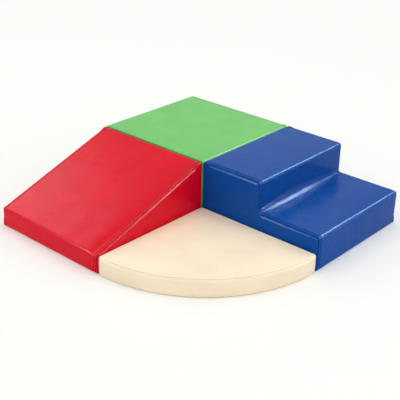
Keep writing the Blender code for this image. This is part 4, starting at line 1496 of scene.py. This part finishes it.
def make_finishes():
    """Every material of the pieces, by a short name."""
    finishes = {
        "foam": foam(),
        "grip": grip(),
        "tape": woven("zip_cloth", (0.11, 0.11, 0.12)),
        "coil": nylon(),
        "nickel": plated(),
    }
    for colour, (tone, roughness, shine, shaded_thread_shares) in VINYLS.items():
        finishes[colour] = vinyl(f"{colour}_vinyl_cover", tone, roughness, shine)
        finishes[f"{colour}_thread"] = thread(f"{colour}_thread", tone, *shaded_thread_shares)
        for kind in ("hook", "loop"):
            made = pile(f"{colour}_{kind}s", scaled(tone, 0.9), kind == "hook")
            finishes[f"{colour}_{kind}"] = made
    return finishes


# Camera, light and floor


def make_camera():
    """The camera at the photograph's viewing angle."""
    azimuth, elevation, roll = (math.radians(angle) for angle in CAMERA_ANGLES)
    forward = Vector((
        -math.sin(azimuth) * math.cos(elevation),
        math.cos(azimuth) * math.cos(elevation),
        -math.sin(elevation),
    ))
    right = Vector((math.cos(azimuth), math.sin(azimuth), 0.0))
    up = right.cross(forward)
    turned = right * math.cos(roll) + up * math.sin(roll)
    upright = turned.cross(forward)
    data = bpy.data.cameras.new("camera")
    data.lens = CAMERA_LENS
    data.sensor_width = 36.0
    data.clip_end = 50.0
    camera = add_object("camera", data)
    axes = Matrix((turned, upright, -forward)).transposed()
    camera.matrix_world = Matrix.Translation(CAMERA_PLACE) @ axes.to_4x4()
    bpy.context.scene.camera = camera


def make_world():
    """An even white surround, a little weaker as a light than as it is seen."""
    world = bpy.data.worlds.new("world")
    bpy.context.scene.world = world
    world.use_nodes = True
    tree = world.node_tree
    background = tree.nodes["Background"]
    background.inputs["Color"].default_value = (1.0, 1.0, 0.985, 1.0)
    path = tree.nodes.new("ShaderNodeLightPath")
    level = tree.nodes.new("ShaderNodeMapRange")
    tree.links.new(path.outputs["Is Camera Ray"], level.inputs["Value"])
    level.inputs["To Min"].default_value = SURROUND_LIGHT
    level.inputs["To Max"].default_value = 1.0
    tree.links.new(level.outputs["Result"], background.inputs["Strength"])


def make_softbox(name, place, aim, size, power, colour):
    """A rectangular light. A card shows only as a sheen."""
    data = bpy.data.lights.new(name, "AREA")
    data.shape = "RECTANGLE"
    data.size, data.size_y = size
    data.energy = power
    data.color = colour
    lamp = add_object(name, data)
    lamp.location = place
    lamp.rotation_euler = (Vector(aim) - Vector(place)).to_track_quat("-Z", "Y").to_euler()
    lamp.visible_diffuse = not name.endswith("_card")


def make_floor():
    """A plain pale floor that takes the shadow and otherwise looks white.

    Its glow shows to the camera, in a mirror and through glass, and grows with the distance.
    """
    size = 30.0
    corners = [(-size, -size, 0.0), (size, -size, 0.0), (size, size, 0.0), (-size, size, 0.0)]
    floor = add_mesh("floor", corners, [(0, 1, 2, 3)])
    n = Nodes("floor")
    path = n.add("ShaderNodeLightPath").outputs
    seen = n.math("MAXIMUM", path["Is Camera Ray"], path["Is Glossy Ray"])
    seen = n.math("MAXIMUM", seen, path["Is Transmission Ray"])
    reach = n.add("ShaderNodeVectorMath", {0: n.place}, operation="LENGTH").outputs["Value"]
    glow = n.math("MULTIPLY", seen, n.spread(reach, 0.075, 0.30, 3.5, 12.0))
    material = n.finish(
        Base_Color=(0.88, 0.885, 0.87, 1.0), Roughness=1.0, Specular_IOR_Level=0.0,
        Emission_Color=(1.0, 1.0, 0.98, 1.0), Emission_Strength=glow,
    )
    floor.data.materials.append(material)


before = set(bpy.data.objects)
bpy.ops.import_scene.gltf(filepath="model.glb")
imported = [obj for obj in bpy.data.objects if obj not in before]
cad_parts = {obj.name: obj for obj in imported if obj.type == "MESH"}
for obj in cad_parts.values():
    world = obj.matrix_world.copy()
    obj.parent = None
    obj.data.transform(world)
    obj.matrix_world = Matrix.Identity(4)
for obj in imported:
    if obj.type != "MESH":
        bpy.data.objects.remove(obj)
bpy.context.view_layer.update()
make_camera()
make_world()
make_floor()
for light, settings in SOFTBOXES.items():
    make_softbox(light, *settings)
build_pieces(make_finishes())

bpy.context.scene.view_settings.view_transform = "Standard"
